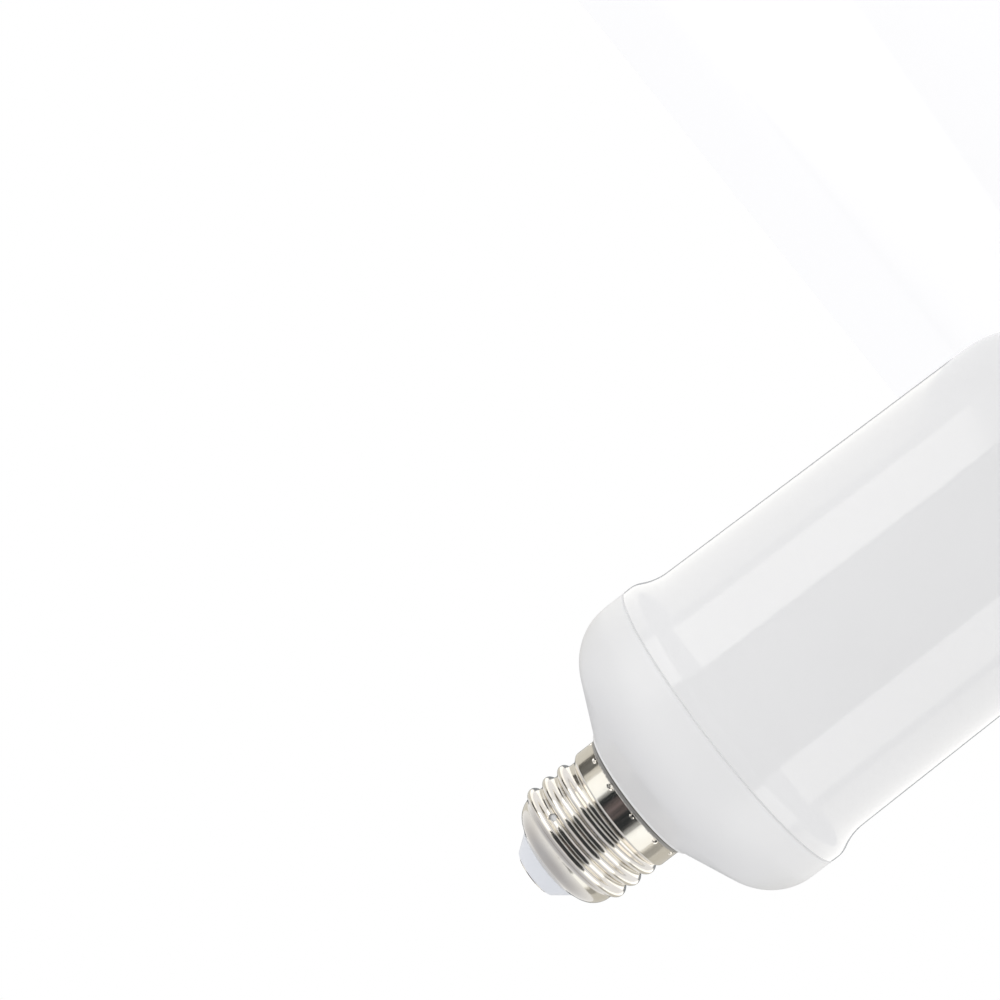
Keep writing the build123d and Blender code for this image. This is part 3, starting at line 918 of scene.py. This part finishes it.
class Tree:
    """A Geometry Nodes tree under construction."""

    def __init__(self, name: str) -> None:
        """Start a tree with a geometry input and output.

        Args:
            name: The tree's name.
        """
        self.group = bpy.data.node_groups.new(name, "GeometryNodeTree")
        self.group.is_modifier = True
        self.group.interface.new_socket("Geometry", in_out="INPUT", socket_type="NodeSocketGeometry")
        self.group.interface.new_socket("Geometry", in_out="OUTPUT", socket_type="NodeSocketGeometry")
        self.entry = self.group.nodes.new("NodeGroupInput")
        self.exit = self.group.nodes.new("NodeGroupOutput")
        self.sizes: dict[str, float | int | bpy.types.Material] = {}

    def size(self, name: str, value: float | int | bpy.types.Material) -> Value:
        """Add a named input.

        Args:
            name: The input's name.
            value: Its value on the modifier.

        Returns:
            The input inside the tree.
        """
        kinds = {int: "NodeSocketInt", float: "NodeSocketFloat"}
        kind = kinds.get(type(value), "NodeSocketMaterial")
        self.group.interface.new_socket(name, in_out="INPUT", socket_type=kind)
        self.sizes[name] = value
        return Value(self, self.entry.outputs[name])

    def parts(self, vector: Socket) -> tuple[Value, Value, Value]:
        """Take a vector's three numbers apart."""
        return tuple(Value(self, part) for part in self.node("ShaderNodeSeparateXYZ", Vector=vector).outputs)

    def node(self, kind: str, settings: dict[str, object] | None = None, **inputs: object) -> bpy.types.Node:
        """Add a node to the tree, as add() does."""
        return add(self.group, kind, settings, **inputs)

    def math(self, operation: str, *values: Number) -> Value:
        """Add a maths node.

        Args:
            operation: The operation's name.
            *values: Its inputs.

        Returns:
            The result.
        """
        made = self.node("ShaderNodeMath", {"operation": operation})
        for socket, value in zip(made.inputs, values):
            feed(self.group, socket, value)
        return Value(self, made.outputs[0])

    def step(self, value: Value, start: Number, end: Number) -> Value:
        """Rise smoothly from 0 to 1 between two values.

        Args:
            value: What is measured.
            start: Where the rise starts.
            end: Where it ends.

        Returns:
            The height of the step.
        """
        smooth = {"interpolation_type": "SMOOTHSTEP"}
        made = self.node("ShaderNodeMapRange", smooth, Value=value, From_Min=start, From_Max=end)
        return Value(self, made.outputs["Result"])

    def apply(self, piece: Piece) -> bpy.types.Mesh:
        """Run the tree on an object and take the plain mesh that comes out.

        Args:
            piece: The object that holds the tree's input.

        Returns:
            The finished mesh.
        """
        modifier = piece.modifiers.new(self.group.name, "NODES")
        modifier.node_group = self.group
        for item in self.group.interface.items_tree:
            if item.item_type == "SOCKET" and item.in_out == "INPUT" and item.name in self.sizes:
                modifier[item.identifier] = self.sizes[item.name]
        return baked(piece)


@dataclass
class ScrewShell:
    """The rolled shell: a skirt with crimps, a round Edison thread and a dome.

    Args:
        sheet: Thickness of the sheet.
        skirt_r: Radius of the skirt.
        skirt_h: Height of the skirt over the housing's lip.
        rim_curl: How far the skirt's rim flares out.
        rim_curl_h: Height of that flare.
        rim_fillet: Rounding between the flare and the skirt.
        skirt_fillet: Rounding at the skirt's end.
        root_fillet: Rounding between the skirt's shoulder and the thread's wall.
        root_r: Radius at the thread's roots.
        depth: Depth of the thread.
        pitch: Pitch of the thread.
        arc_r: Radius of the two arcs that make the thread's round section.
        crest_z: Height of the first crest on the +X side.
        lead_in: Turns of the thread before that crest.
        turns: Turns of the thread in all.
        run_out: Turns over which the thread rises and dies away.
        thread_h: Height of the thread's wall over the skirt.
        dome_r: Radius of the dome's corner.
        dome_h: Height of the dome's corner over the thread's wall.
        dome_fillet: Rounding at the start of the dome.
        end_fillet: Rounding between the dome and its flat end.
        end_r: Radius of the dome's opening.
        crimps: The crimps that hold the skirt.
        crimp_r: Radius of a crimp.
        crimp_push: Depth of a crimp.
        crimp_slope: Where a crimp's slope starts and ends, as shares of its radius.
        pierced_r: Radius of the pierced hole.
        pierced_turn: Angle of the pierced hole, in degrees.
        pierced_wide: How much wider than high the hole is.
        pierced_cut: Length of the cut that makes the hole.
        pierced_sides: How many faces go round the hole.
        tears: Waves of the hole's edge, each with its count, height and phase.
        columns_per_crimp: Faces round the axis for each crimp.
        rows: Faces along the outline.
        crowding: How far the columns crowd at the crimps.
        sharp: The angle past which an edge stays sharp, in degrees.
    """

    sheet: float = 0.3
    skirt_r: float = 13.05
    skirt_h: float = 5.0
    rim_curl: float = 0.45
    rim_curl_h: float = 0.6
    rim_fillet: float = 0.6
    skirt_fillet: float = 0.7
    root_fillet: float = 0.5
    root_r: float = 12.05
    depth: float = 1.1
    pitch: float = 3.629
    arc_r: float = 1.023
    crest_z: float = 124.63
    lead_in: float = 0.75
    turns: float = 2.917
    run_out: float = 0.12
    thread_h: float = 13.4
    dome_r: float = 10.4
    dome_h: float = 2.0
    dome_fillet: float = 4.6
    end_fillet: float = 4.4
    end_r: float = 7.8
    crimps: Crimps = Crimps()
    crimp_r: float = 0.5
    crimp_push: float = 0.35
    crimp_slope: Pair = (1.15, 0.75)
    pierced_r: float = 0.75
    pierced_turn: float = -59.0
    pierced_wide: float = 1.15
    pierced_cut: float = 3.0
    pierced_sides: int = 36
    tears: tuple[tuple[int, float, float], ...] = ((2, 0.12, 0.6), (5, 0.07, 0.0), (9, 0.04, 0.0))
    columns_per_crimp: int = 20
    rows: int = 190
    crowding: float = 0.8
    sharp: float = 50.0

    def corners(self) -> list[Corner]:
        """Give the corners of the sheet's outside, without its thread.

        Returns:
            The corners, from the skirt's rim to the dome's opening.
        """
        low, high = (corner.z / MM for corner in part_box("screw_shell"))
        rim_z = low + self.sheet * self.rim_curl / math.hypot(self.rim_curl, self.rim_curl_h)
        skirt_end = rim_z - self.sheet + self.skirt_h
        thread_end = skirt_end + self.thread_h
        return [
            Corner(self.skirt_r + self.rim_curl, rim_z),
            Corner(self.skirt_r, rim_z + self.rim_curl_h, self.rim_fillet),
            Corner(self.skirt_r, skirt_end, self.skirt_fillet),
            Corner(self.root_r, skirt_end + self.depth, self.root_fillet),
            Corner(self.root_r, thread_end, self.dome_fillet),
            Corner(self.dome_r, thread_end + self.dome_h, self.end_fillet),
            Corner(self.end_r, high),
        ]

    def section(self, points: Sequence[Pair]) -> Piece:
        """Make the outline an object that the tree can sample.

        Args:
            points: The outline's points.

        Returns:
            An object that holds the outline as a chain of edges.
        """
        mesh = bpy.data.meshes.new("shell_section")
        chain = [(place, place + 1) for place in range(len(points) - 1)]
        mesh.from_pydata([(r * MM, 0, z * MM) for r, z in points], chain, [])
        return new_object("shell_section", mesh)

    def ridge(self, tree: Tree, turn: Value, height: Value) -> Value:
        """Work out how far the thread stands over its root at a place.

        Args:
            tree: The tree to build in.
            turn: The place's angle, in turns.
            height: The place's height.

        Returns:
            The thread's height there.
        """
        pitch = tree.size("Pitch", self.pitch * MM)
        arc = tree.size("Thread arc", self.arc_r * MM)
        depth = tree.size("Thread depth", self.depth * MM)
        start = tree.size("Thread start", (self.crest_z - self.lead_in * self.pitch) * MM)
        turns = tree.size("Thread turns", self.turns)
        run_out = tree.size("Run-out", self.run_out)
        begin = tree.size("Thread first turn", 1 - self.lead_in)
        turn = turn - begin
        climb = (height - start) / pitch
        along = turn + tree.math("ROUND", climb - turn)
        off = tree.math("ABSOLUTE", (climb - along) * pitch)
        to_root = pitch / 2.0 - off
        square = arc * arc
        crest = depth - arc + (square - off * off).root()
        root = arc - (square - to_root * to_root).root()
        near = tree.math("LESS_THAN", off, pitch / 4.0)
        profile = tree.node("ShaderNodeMix", {"data_type": "FLOAT"}, Factor=near, A=root, B=crest)
        rise = tree.step(along, 0.0, run_out)
        fall = tree.step(along, turns, turns - run_out)
        return Value(tree, profile.outputs["Result"]) * (rise * fall)

    def crimp(self, tree: Tree, cell: Value, height: Value, radius: Value, crimp_z: float) -> Value:
        """Work out how far a crimp pushes the skirt in at a place.

        Args:
            tree: The tree to build in.
            cell: Where the place lies between two crimps, from -0.5 to 0.5, with the crimp at 0.
            height: The place's height.
            radius: The place's distance from the axis.
            crimp_z: Height of the crimps, in millimetres.

        Returns:
            The crimp's depth there.
        """
        crimp_r = tree.size("Crimp radius", self.crimp_r * MM)
        push = tree.size("Crimp depth", self.crimp_push * MM)
        level = tree.size("Crimp height", crimp_z * MM)
        count = tree.size("Crimps", self.crimps.count)
        across = cell * (radius * (2 * math.pi) / count)
        along = height - level
        away = (across * across + along * along).root() / crimp_r
        return push * tree.step(away, *self.crimp_slope)

    def tree(self, material: bpy.types.Material, crimp_z: float) -> Tree:
        """Build the tree that rolls the outline into the shell's outer face.

        Args:
            material: The shell's material.
            crimp_z: Height of the crimps, in millimetres.

        Returns:
            The tree.
        """
        tree = Tree("rolled_shell")
        columns = tree.size("Columns per crimp", self.columns_per_crimp)
        rows = tree.size("Rows", self.rows)
        crowding = tree.size("Crowding", self.crowding)
        first = tree.size("First crimp", self.crimps.turn / 360)
        root_r = tree.size("Root radius", self.root_r * MM)
        finish = tree.size("Finish", material)
        count = float(self.crimps.count)
        curve = tree.node("GeometryNodeMeshToCurve", Mesh=tree.entry.outputs["Geometry"])
        counts = {"Vertices_X": columns * count + 1.0, "Vertices_Y": rows}
        grid = tree.node("GeometryNodeMeshGrid", Size_X=1.0, Size_Y=1.0, **counts)
        x, y, _ = tree.parts(tree.node("GeometryNodeInputPosition").outputs[0])
        across = (x + 0.5) * count
        cell = tree.math("FRACT", across) - 0.5
        wave = tree.math("SINE", cell * (2 * math.pi))
        cell = cell - crowding * wave / (2 * math.pi)
        turn = (tree.math("FLOOR", across) + cell) / count + first
        by_share = {"mode": "FACTOR"}
        sample = tree.node("GeometryNodeSampleCurve", by_share, Curves=curve.outputs[0], Factor=y + 0.5)
        base, _, height = tree.parts(sample.outputs["Position"])
        floor = tree.math("MINIMUM", base, root_r)
        radius = tree.math("MAXIMUM", base, floor + self.ridge(tree, turn, height))
        radius = radius - self.crimp(tree, cell, height, base, crimp_z)
        angle = turn * (2 * math.pi)
        x, y = (radius * tree.math(operation, angle) for operation in ("COSINE", "SINE"))
        spot = tree.node("ShaderNodeCombineXYZ", X=x, Y=y, Z=height)
        rolled = tree.node("GeometryNodeSetPosition", Geometry=grid.outputs["Mesh"], Position=spot.outputs[0])
        joined = tree.node("GeometryNodeMergeByDistance", Geometry=rolled.outputs[0], Distance=TINY)
        shaded = tree.node("GeometryNodeSetShadeSmooth", Geometry=joined.outputs[0])
        real = tree.node("GeometryNodeRealizeInstances", Geometry=shaded.outputs[0])
        dressed = tree.node("GeometryNodeSetMaterial", Geometry=real.outputs[0], Material=finish)
        feed(tree.group, tree.exit.inputs[0], dressed.outputs[0])
        return tree

    def thicken(self, piece: Piece) -> None:
        """Give the rolled face the sheet's thickness, inwards.

        Args:
            piece: The shell.
        """
        solid = piece.modifiers.new("sheet", "SOLIDIFY")
        solid.thickness = self.sheet * MM
        solid.offset = -1.0
        piece.data = baked(piece)

    def pierce(self, piece: Piece) -> None:
        """Cut the pierced hole, with its torn outline.

        Args:
            piece: The shell.
        """
        away, side = directions(self.pierced_turn)
        middle = UP * (self.crest_z + self.pitch * (1.5 + self.pierced_turn / 360))
        start = []
        for corner in range(self.pierced_sides):
            a = 2 * math.pi * corner / self.pierced_sides
            wave = sum(size * math.sin(count * a + phase) for count, size, phase in self.tears)
            r = self.pierced_r * (1 + wave)
            spot = away * (self.root_r - OVER_CUT) + side * (r * self.pierced_wide * math.cos(a))
            start.append(spot + middle + UP * (r * math.sin(a)))
        end = [spot + away * self.pierced_cut for spot in start]
        combine(piece, solids("punch", [(start, end)]), "DIFFERENCE")

    def build(self, finishes: Finishes) -> Piece:
        """Make the shell and put it in its node's place.

        Args:
            finishes: The bulb's finishes.

        Returns:
            The piece.
        """
        corners = self.corners()
        section = self.section(rounded(corners))
        crimp_z = corners[0].z - self.sheet + self.crimps.over_lip
        mesh = self.tree(finishes.get("nickel_plate"), crimp_z).apply(section)
        bpy.data.objects.remove(section)
        piece = new_object("rolled_screw_shell", mesh)
        self.thicken(piece)
        self.pierce(piece)
        finishes.place(piece, "screw_shell", "nickel_plate", self.sharp)
        return piece


@dataclass
class CapEnd:
    """The white insulator at the cap's end, and the metal contact on it.

    Args:
        shell: The screw shell that the insulator fills.
        gap: Gap between the insulator and the shell.
        base_r: Radius of the cone at the dome.
        end_r: Radius of the cone's end.
        edge: Radius that rounds the cone's end.
        contact_r: Radius of the contact.
        contact_t: Thickness of the contact's edge.
        crown: Height that the contact's ball-shaped crown takes up.
        crown_share: Share of the contact's radius that the crown covers.
        crown_steps: How many rings of faces the crown has.
        edge_round: Height of the bevel round the contact's edge.
        stem_r: Radius of the contact's stem.
        stem_gap: Gap round that stem.
        recess_r: Radius of the recess in the insulator's base.
        recess_h: Depth of that recess.
        columns: How many faces go round the axis.
    """

    shell: ScrewShell
    gap: float = 0.15
    base_r: float = 7.65
    end_r: float = 5.1
    edge: float = 0.5
    contact_r: float = 4.5
    contact_t: float = 0.3
    crown: float = 0.25
    crown_share: float = 0.96
    crown_steps: int = 16
    edge_round: float = 0.1
    stem_r: float = 1.1
    stem_gap: float = 0.1
    recess_r: float = 6.0
    recess_h: float = 3.0
    columns: int = 128

    def insulator(self, finishes: Finishes) -> Piece:
        """Make the insulator and put it in its node's place.

        Args:
            finishes: The bulb's finishes.

        Returns:
            The piece.
        """
        low, high = (corner.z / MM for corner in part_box("cap_insulator"))
        dome_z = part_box("screw_shell")[1].z / MM
        core = inset(self.shell.corners()[3:], self.shell.sheet + self.gap)
        bore_r = self.stem_r + self.stem_gap
        outline = rounded([
            Corner(self.recess_r, low),
            Corner(core[0].r, low),
            *core[1:-1],
            Corner(self.base_r, core[-1].z),
            Corner(self.base_r, dome_z + self.gap),
            Corner(self.end_r, high, self.edge),
            Corner(bore_r, high),
            Corner(bore_r, low + self.recess_h),
            Corner(self.recess_r, low + self.recess_h),
        ])
        piece = lathe("end_insulator", outline, self.columns, True)
        finishes.place(piece, "cap_insulator", "insulator_plastic")
        return piece

    def contact(self, finishes: Finishes) -> Piece:
        """Make the contact and put it in its node's place.

        Args:
            finishes: The bulb's finishes.

        Returns:
            The piece.
        """
        low, high = (corner.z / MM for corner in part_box("centre_contact"))
        seat_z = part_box("cap_insulator")[1].z / MM
        ball = (self.crown**2 + self.contact_r**2) / (2 * self.crown)
        crown_r = self.contact_r * self.crown_share
        crown = [crown_r * (1 - step / self.crown_steps) for step in range(self.crown_steps + 1)]
        outline = [(0.0, low), (self.stem_r, low), (self.stem_r, seat_z), (self.contact_r, seat_z)]
        outline += [(self.contact_r, seat_z + self.contact_t - self.edge_round)]
        outline += [(r, high - ball + math.sqrt(ball**2 - r**2)) for r in crown]
        piece = lathe("crowned_contact", outline, self.columns, False)
        finishes.place(piece, "centre_contact", "contact_metal")
        return piece


@dataclass
class Innards:
    """The pieces inside the bulb, which keep their solids and get their finishes.

    Args:
        shown: Nodes that other classes build anew.
    """

    shown: tuple[str, ...] = ("diffuser", "base_housing", "screw_shell", "cap_insulator", "centre_contact")

    def build(self, frame: dict, finishes: Finishes) -> list[str]:
        """Dress every inner node.

        Args:
            frame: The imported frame.
            finishes: The bulb's finishes.

        Returns:
            The nodes' names.
        """
        slots = {row["node"]: row["material_slot"] for row in frame["record"]["subparts"]}
        inner = [name for name in sorted(frame["nodes"]) if name not in self.shown]
        for name in inner:
            finishes.dress(frame["nodes"][name], slots[name])
        return inner


@dataclass(frozen=True)
class Card:
    """A glowing card that curves round the bulb, and that only reflections show.

    Args:
        name: The card's name.
        start: Where it starts, in degrees from the camera's side towards +X.
        end: Where it ends.
        near: Distance from the axis and height of one edge, in millimetres.
        far: Distance from the axis and height of the other edge.
        color: The colour of its light.
        glow: How strongly it glows.
        second: The colour of its patches.
        patch: Size of its patches, in millimetres, or 0 for a plain card.
        blend: The pattern's values between which one colour turns into the other.
        turn: The widest turn of one of its faces, in degrees.
    """

    name: str
    start: float
    end: float
    near: Pair
    far: Pair
    color: Color
    glow: float
    second: Color = (0.0, 0.0, 0.0)
    patch: float = 0.0
    blend: Pair = (0.42, 0.6)
    turn: float = 6.0

    def build(self) -> None:
        """Make the card, as part of the stage."""
        span = self.end - self.start
        steps = math.ceil(span / self.turn)
        turns = [math.radians(self.start + span * step / steps) for step in range(steps + 1)]
        edges = (self.near, self.far)
        spots = [Vector((r * math.sin(a), -r * math.cos(a), z)) * MM for a in turns for r, z in edges]
        faces = [(2 * step, 2 * step + 1, 2 * step + 3, 2 * step + 2) for step in range(steps)]
        mesh = bpy.data.meshes.new(self.name)
        mesh.from_pydata(spots, [], faces)
        mesh.materials.append(self.light())
        card = new_object(self.name, mesh)
        card.visible_camera = False
        card.visible_diffuse = False
        card.visible_shadow = False
        card.visible_transmission = False

    def light(self) -> bpy.types.Material:
        """Make the card's glow.

        Returns:
            The glowing material.
        """
        material = bpy.data.materials.new(self.name)
        material.use_nodes = True
        tree = material.node_tree
        tree.nodes.remove(tree.nodes["Principled BSDF"])
        light = add(tree, "ShaderNodeEmission", Color=(*self.color, 1), Strength=self.glow)
        if self.patch:
            place = add(tree, "ShaderNodeTexCoord").outputs["Object"]
            pattern = add(tree, "ShaderNodeTexNoise", Vector=place, Scale=1 / (self.patch * MM))
            color = ramp(tree, pattern.outputs["Fac"], self.blend, (self.color, self.second))
            feed(tree, light.inputs["Color"], color)
        feed(tree, tree.nodes["Material Output"].inputs["Surface"], light.outputs[0])
        return material


@dataclass
class Studio:
    """The floor, the lights and the camera.

    Args:
        camera_mm: The camera's place.
        yaw: Its turn about the upright, in degrees, from +Y towards +X.
        pitch: Its tilt above the horizon, in degrees.
        roll: Its turn about its own line of sight, in degrees.
        focal_px: Its focal length, in pixels of a square picture.
        picture_px: The side of that picture.
        sensor_mm: The width of the sensor.
        floor_m: The side of the floor.
        floor_glow: How strongly the floor glows of itself.
        floor_color: Its colour.
        floor_roughness: Its roughness.
        sky: Strength of the light from all round.
        zenith: Colour of that light from straight above.
        sky_fade: Where that colour starts and ends, from 0 level to 1 straight up.
        reach: Distance of the cards from the axis, in millimetres.
        ground: Height of the lowest cards' edge, in millimetres.
        split: Height of the cards' division: the cover mirrors those below it, and the cap those above it.
        top: Height of the softboxes' upper edge.
        over: Height of the front card's upper edge.
        front_near: Distance from the axis of the nearest edge of the front card on the floor.
        box_near: The same distance of the softboxes on the floor.
        key_watts: Power of the key light.
        key_size: Its side, in metres.
        key_place: Its place, in metres.
        key_aim: The point that it faces, in metres.
    """

    camera_mm: Place = (0.0, -450.0, 32.918)
    yaw: float = 7.6173
    pitch: float = 8.7230
    roll: float = -128.75
    focal_px: float = 2402.41
    picture_px: float = 1000.0
    sensor_mm: float = 36.0
    floor_m: float = 30.0
    floor_glow: float = 0.26
    floor_color: Color = (0.92, 0.92, 0.92)
    floor_roughness: float = 0.9
    sky: float = 1.0
    zenith: Color = (0.53, 0.53, 0.56)
    sky_fade: Pair = (0.44, 0.95)
    reach: float = 600.0
    ground: float = 0.5
    split: float = 195.0
    top: float = 430.0
    over: float = 400.0
    front_near: float = 45.0
    box_near: float = 300.0
    key_watts: float = 0.8
    key_size: float = 0.6
    key_place: Place = (0.5, -0.75, 0.55)
    key_aim: Place = (0.0, 0.0, 0.07)

    def camera(self) -> None:
        """Place the camera at the photograph's viewing angle."""
        yaw, pitch, roll = (math.radians(a) for a in (self.yaw, self.pitch, self.roll))
        ahead = Vector((math.sin(yaw) * math.cos(pitch), math.cos(yaw) * math.cos(pitch), math.sin(pitch)))
        level = Vector((math.cos(yaw), -math.sin(yaw), 0))
        upright = level.cross(ahead)
        right = level * math.cos(roll) + upright * math.sin(roll)
        up = upright * math.cos(roll) - level * math.sin(roll)
        lens = bpy.data.cameras.new("camera")
        lens.lens = self.focal_px / self.picture_px * self.sensor_mm
        lens.sensor_width = self.sensor_mm
        lens.clip_start = 0.01
        camera = new_object("camera", lens)
        turn = Matrix((right, up, -ahead)).transposed().to_4x4()
        camera.matrix_world = Matrix.Translation(Vector(self.camera_mm) * MM) @ turn
        bpy.context.scene.camera = camera

    def floor(self) -> None:
        """Lay the pale floor that the bulb stands on."""
        half = self.floor_m / 2
        mesh = bpy.data.meshes.new("floor")
        corners = [(-half, -half, 0), (half, -half, 0), (half, half, 0), (-half, half, 0)]
        mesh.from_pydata(corners, [], [(0, 1, 2, 3)])
        floor = new_object("floor", mesh)
        material = bpy.data.materials.new("pale_floor")
        material.use_nodes = True
        dress_shader(material.node_tree, {
            "Base Color": (*self.floor_color, 1),
            "Roughness": self.floor_roughness,
            "Emission Color": (1, 1, 1, 1),
            "Emission Strength": self.floor_glow,
        })
        mesh.materials.append(material)

    def world(self) -> None:
        """Light the scene softly from all round, and less from straight above."""
        world = bpy.data.worlds.new("studio")
        world.use_nodes = True
        tree = world.node_tree
        place = add(tree, "ShaderNodeTexCoord").outputs["Generated"]
        height = add(tree, "ShaderNodeSeparateXYZ", Vector=place).outputs["Z"]
        color = ramp(tree, height, self.sky_fade, ((1.0, 1.0, 1.0), self.zenith))
        feed(tree, tree.nodes["Background"].inputs["Color"], color)
        tree.nodes["Background"].inputs["Strength"].default_value = self.sky
        bpy.context.scene.world = world

    def cards(self) -> list[Card]:
        """List the softboxes and the dark cards round the bulb.

        Returns:
            The cards.
        """
        reach, split, ground = self.reach, self.split, self.ground
        front_floor = (self.front_near, ground), (reach, ground)
        box_floor = (self.box_near, ground), (reach, ground)
        low = (reach, ground), (reach, split)
        high = (reach, split), (reach, self.top)
        front = (reach, split), (reach, self.over)
        warm, khaki, dark = (1.0, 0.985, 0.95), (1.0, 0.97, 0.88), (0.9, 0.95, 1.0)
        black, brown, cream = (0.02, 0.024, 0.026), (0.2, 0.16, 0.16), (1.0, 1.01, 0.98)
        return [
            Card("front_floor", -45, 42, *front_floor, dark, 0.05),
            Card("right_box_floor", 42, 82, *box_floor, warm, 2.2),
            Card("left_box_floor", -83, -45, *box_floor, warm, 1.9),
            Card("front_low", -45, 42, *low, dark, 0.05),
            Card("right_box_low", 42, 82, *low, warm, 2.2),
            Card("left_box_low", -83, -45, *low, warm, 1.9),
            Card("right_wing", 92, 160, *low, warm, 1.4),
            Card("left_wing", -160, -92, *low, warm, 1.5),
            Card("back_low", 160, 200, *low, dark, 0.3),
            Card("front_card", -34, 30, *front, black, 1.0, brown, 170.0),
            Card("left_soft", -42, -34, *high, cream, 0.4),
            Card("right_soft", 30, 35, *high, cream, 0.4),
            Card("right_box", 35, 70, *high, cream, 1.25),
            Card("left_box", -82, -42, *high, cream, 1.25),
            Card("right_fade", 70, 84, *high, khaki, 0.7),
            Card("left_end", -88, -82, *high, khaki, 0.8),
            Card("right_card", 84, 115, *high, khaki, 0.12),
            Card("left_card", -108, -88, *high, khaki, 0.4),
            Card("right_side", 115, 166, *high, khaki, 0.75),
            Card("left_side", -166, -108, *high, khaki, 0.66),
            Card("back_card", 166, 194, *high, dark, 0.15),
        ]

    def key(self) -> None:
        """Hang the soft key light."""
        light = bpy.data.lights.new("key", "AREA")
        light.energy = self.key_watts
        light.size = self.key_size
        lamp = new_object("key", light)
        place = Vector(self.key_place)
        turn = (place - Vector(self.key_aim)).to_track_quat("Z", "Y").to_matrix().to_4x4()
        lamp.matrix_world = Matrix.Translation(place) @ turn
        lamp.visible_glossy = False

    def build(self) -> None:
        """Set up the whole studio."""
        self.camera()
        self.floor()
        self.world()
        for card in self.cards():
            card.build()
        self.key()
        bpy.context.scene.view_settings.view_transform = "Standard"


def main() -> None:
    """Build every piece in order and report it."""
    logging.basicConfig(level=logging.INFO, format="%(name)s: %(message)s")
    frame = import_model()
    finishes = Finishes()
    shell = ScrewShell()
    end = CapEnd(shell)
    builders: list[Callable[[Finishes], Piece]] = [
        Cover().build,
        Housing().build,
        shell.build,
        end.insulator,
        end.contact,
    ]
    for build in builders:
        piece = build(finishes)
        LOG.info("%s: %d faces", piece.name, len(piece.data.polygons))
    LOG.info("inner pieces dressed: %s", ", ".join(Innards().build(frame, finishes)))
    Studio().build()


if __name__ == "__main__":
    main()
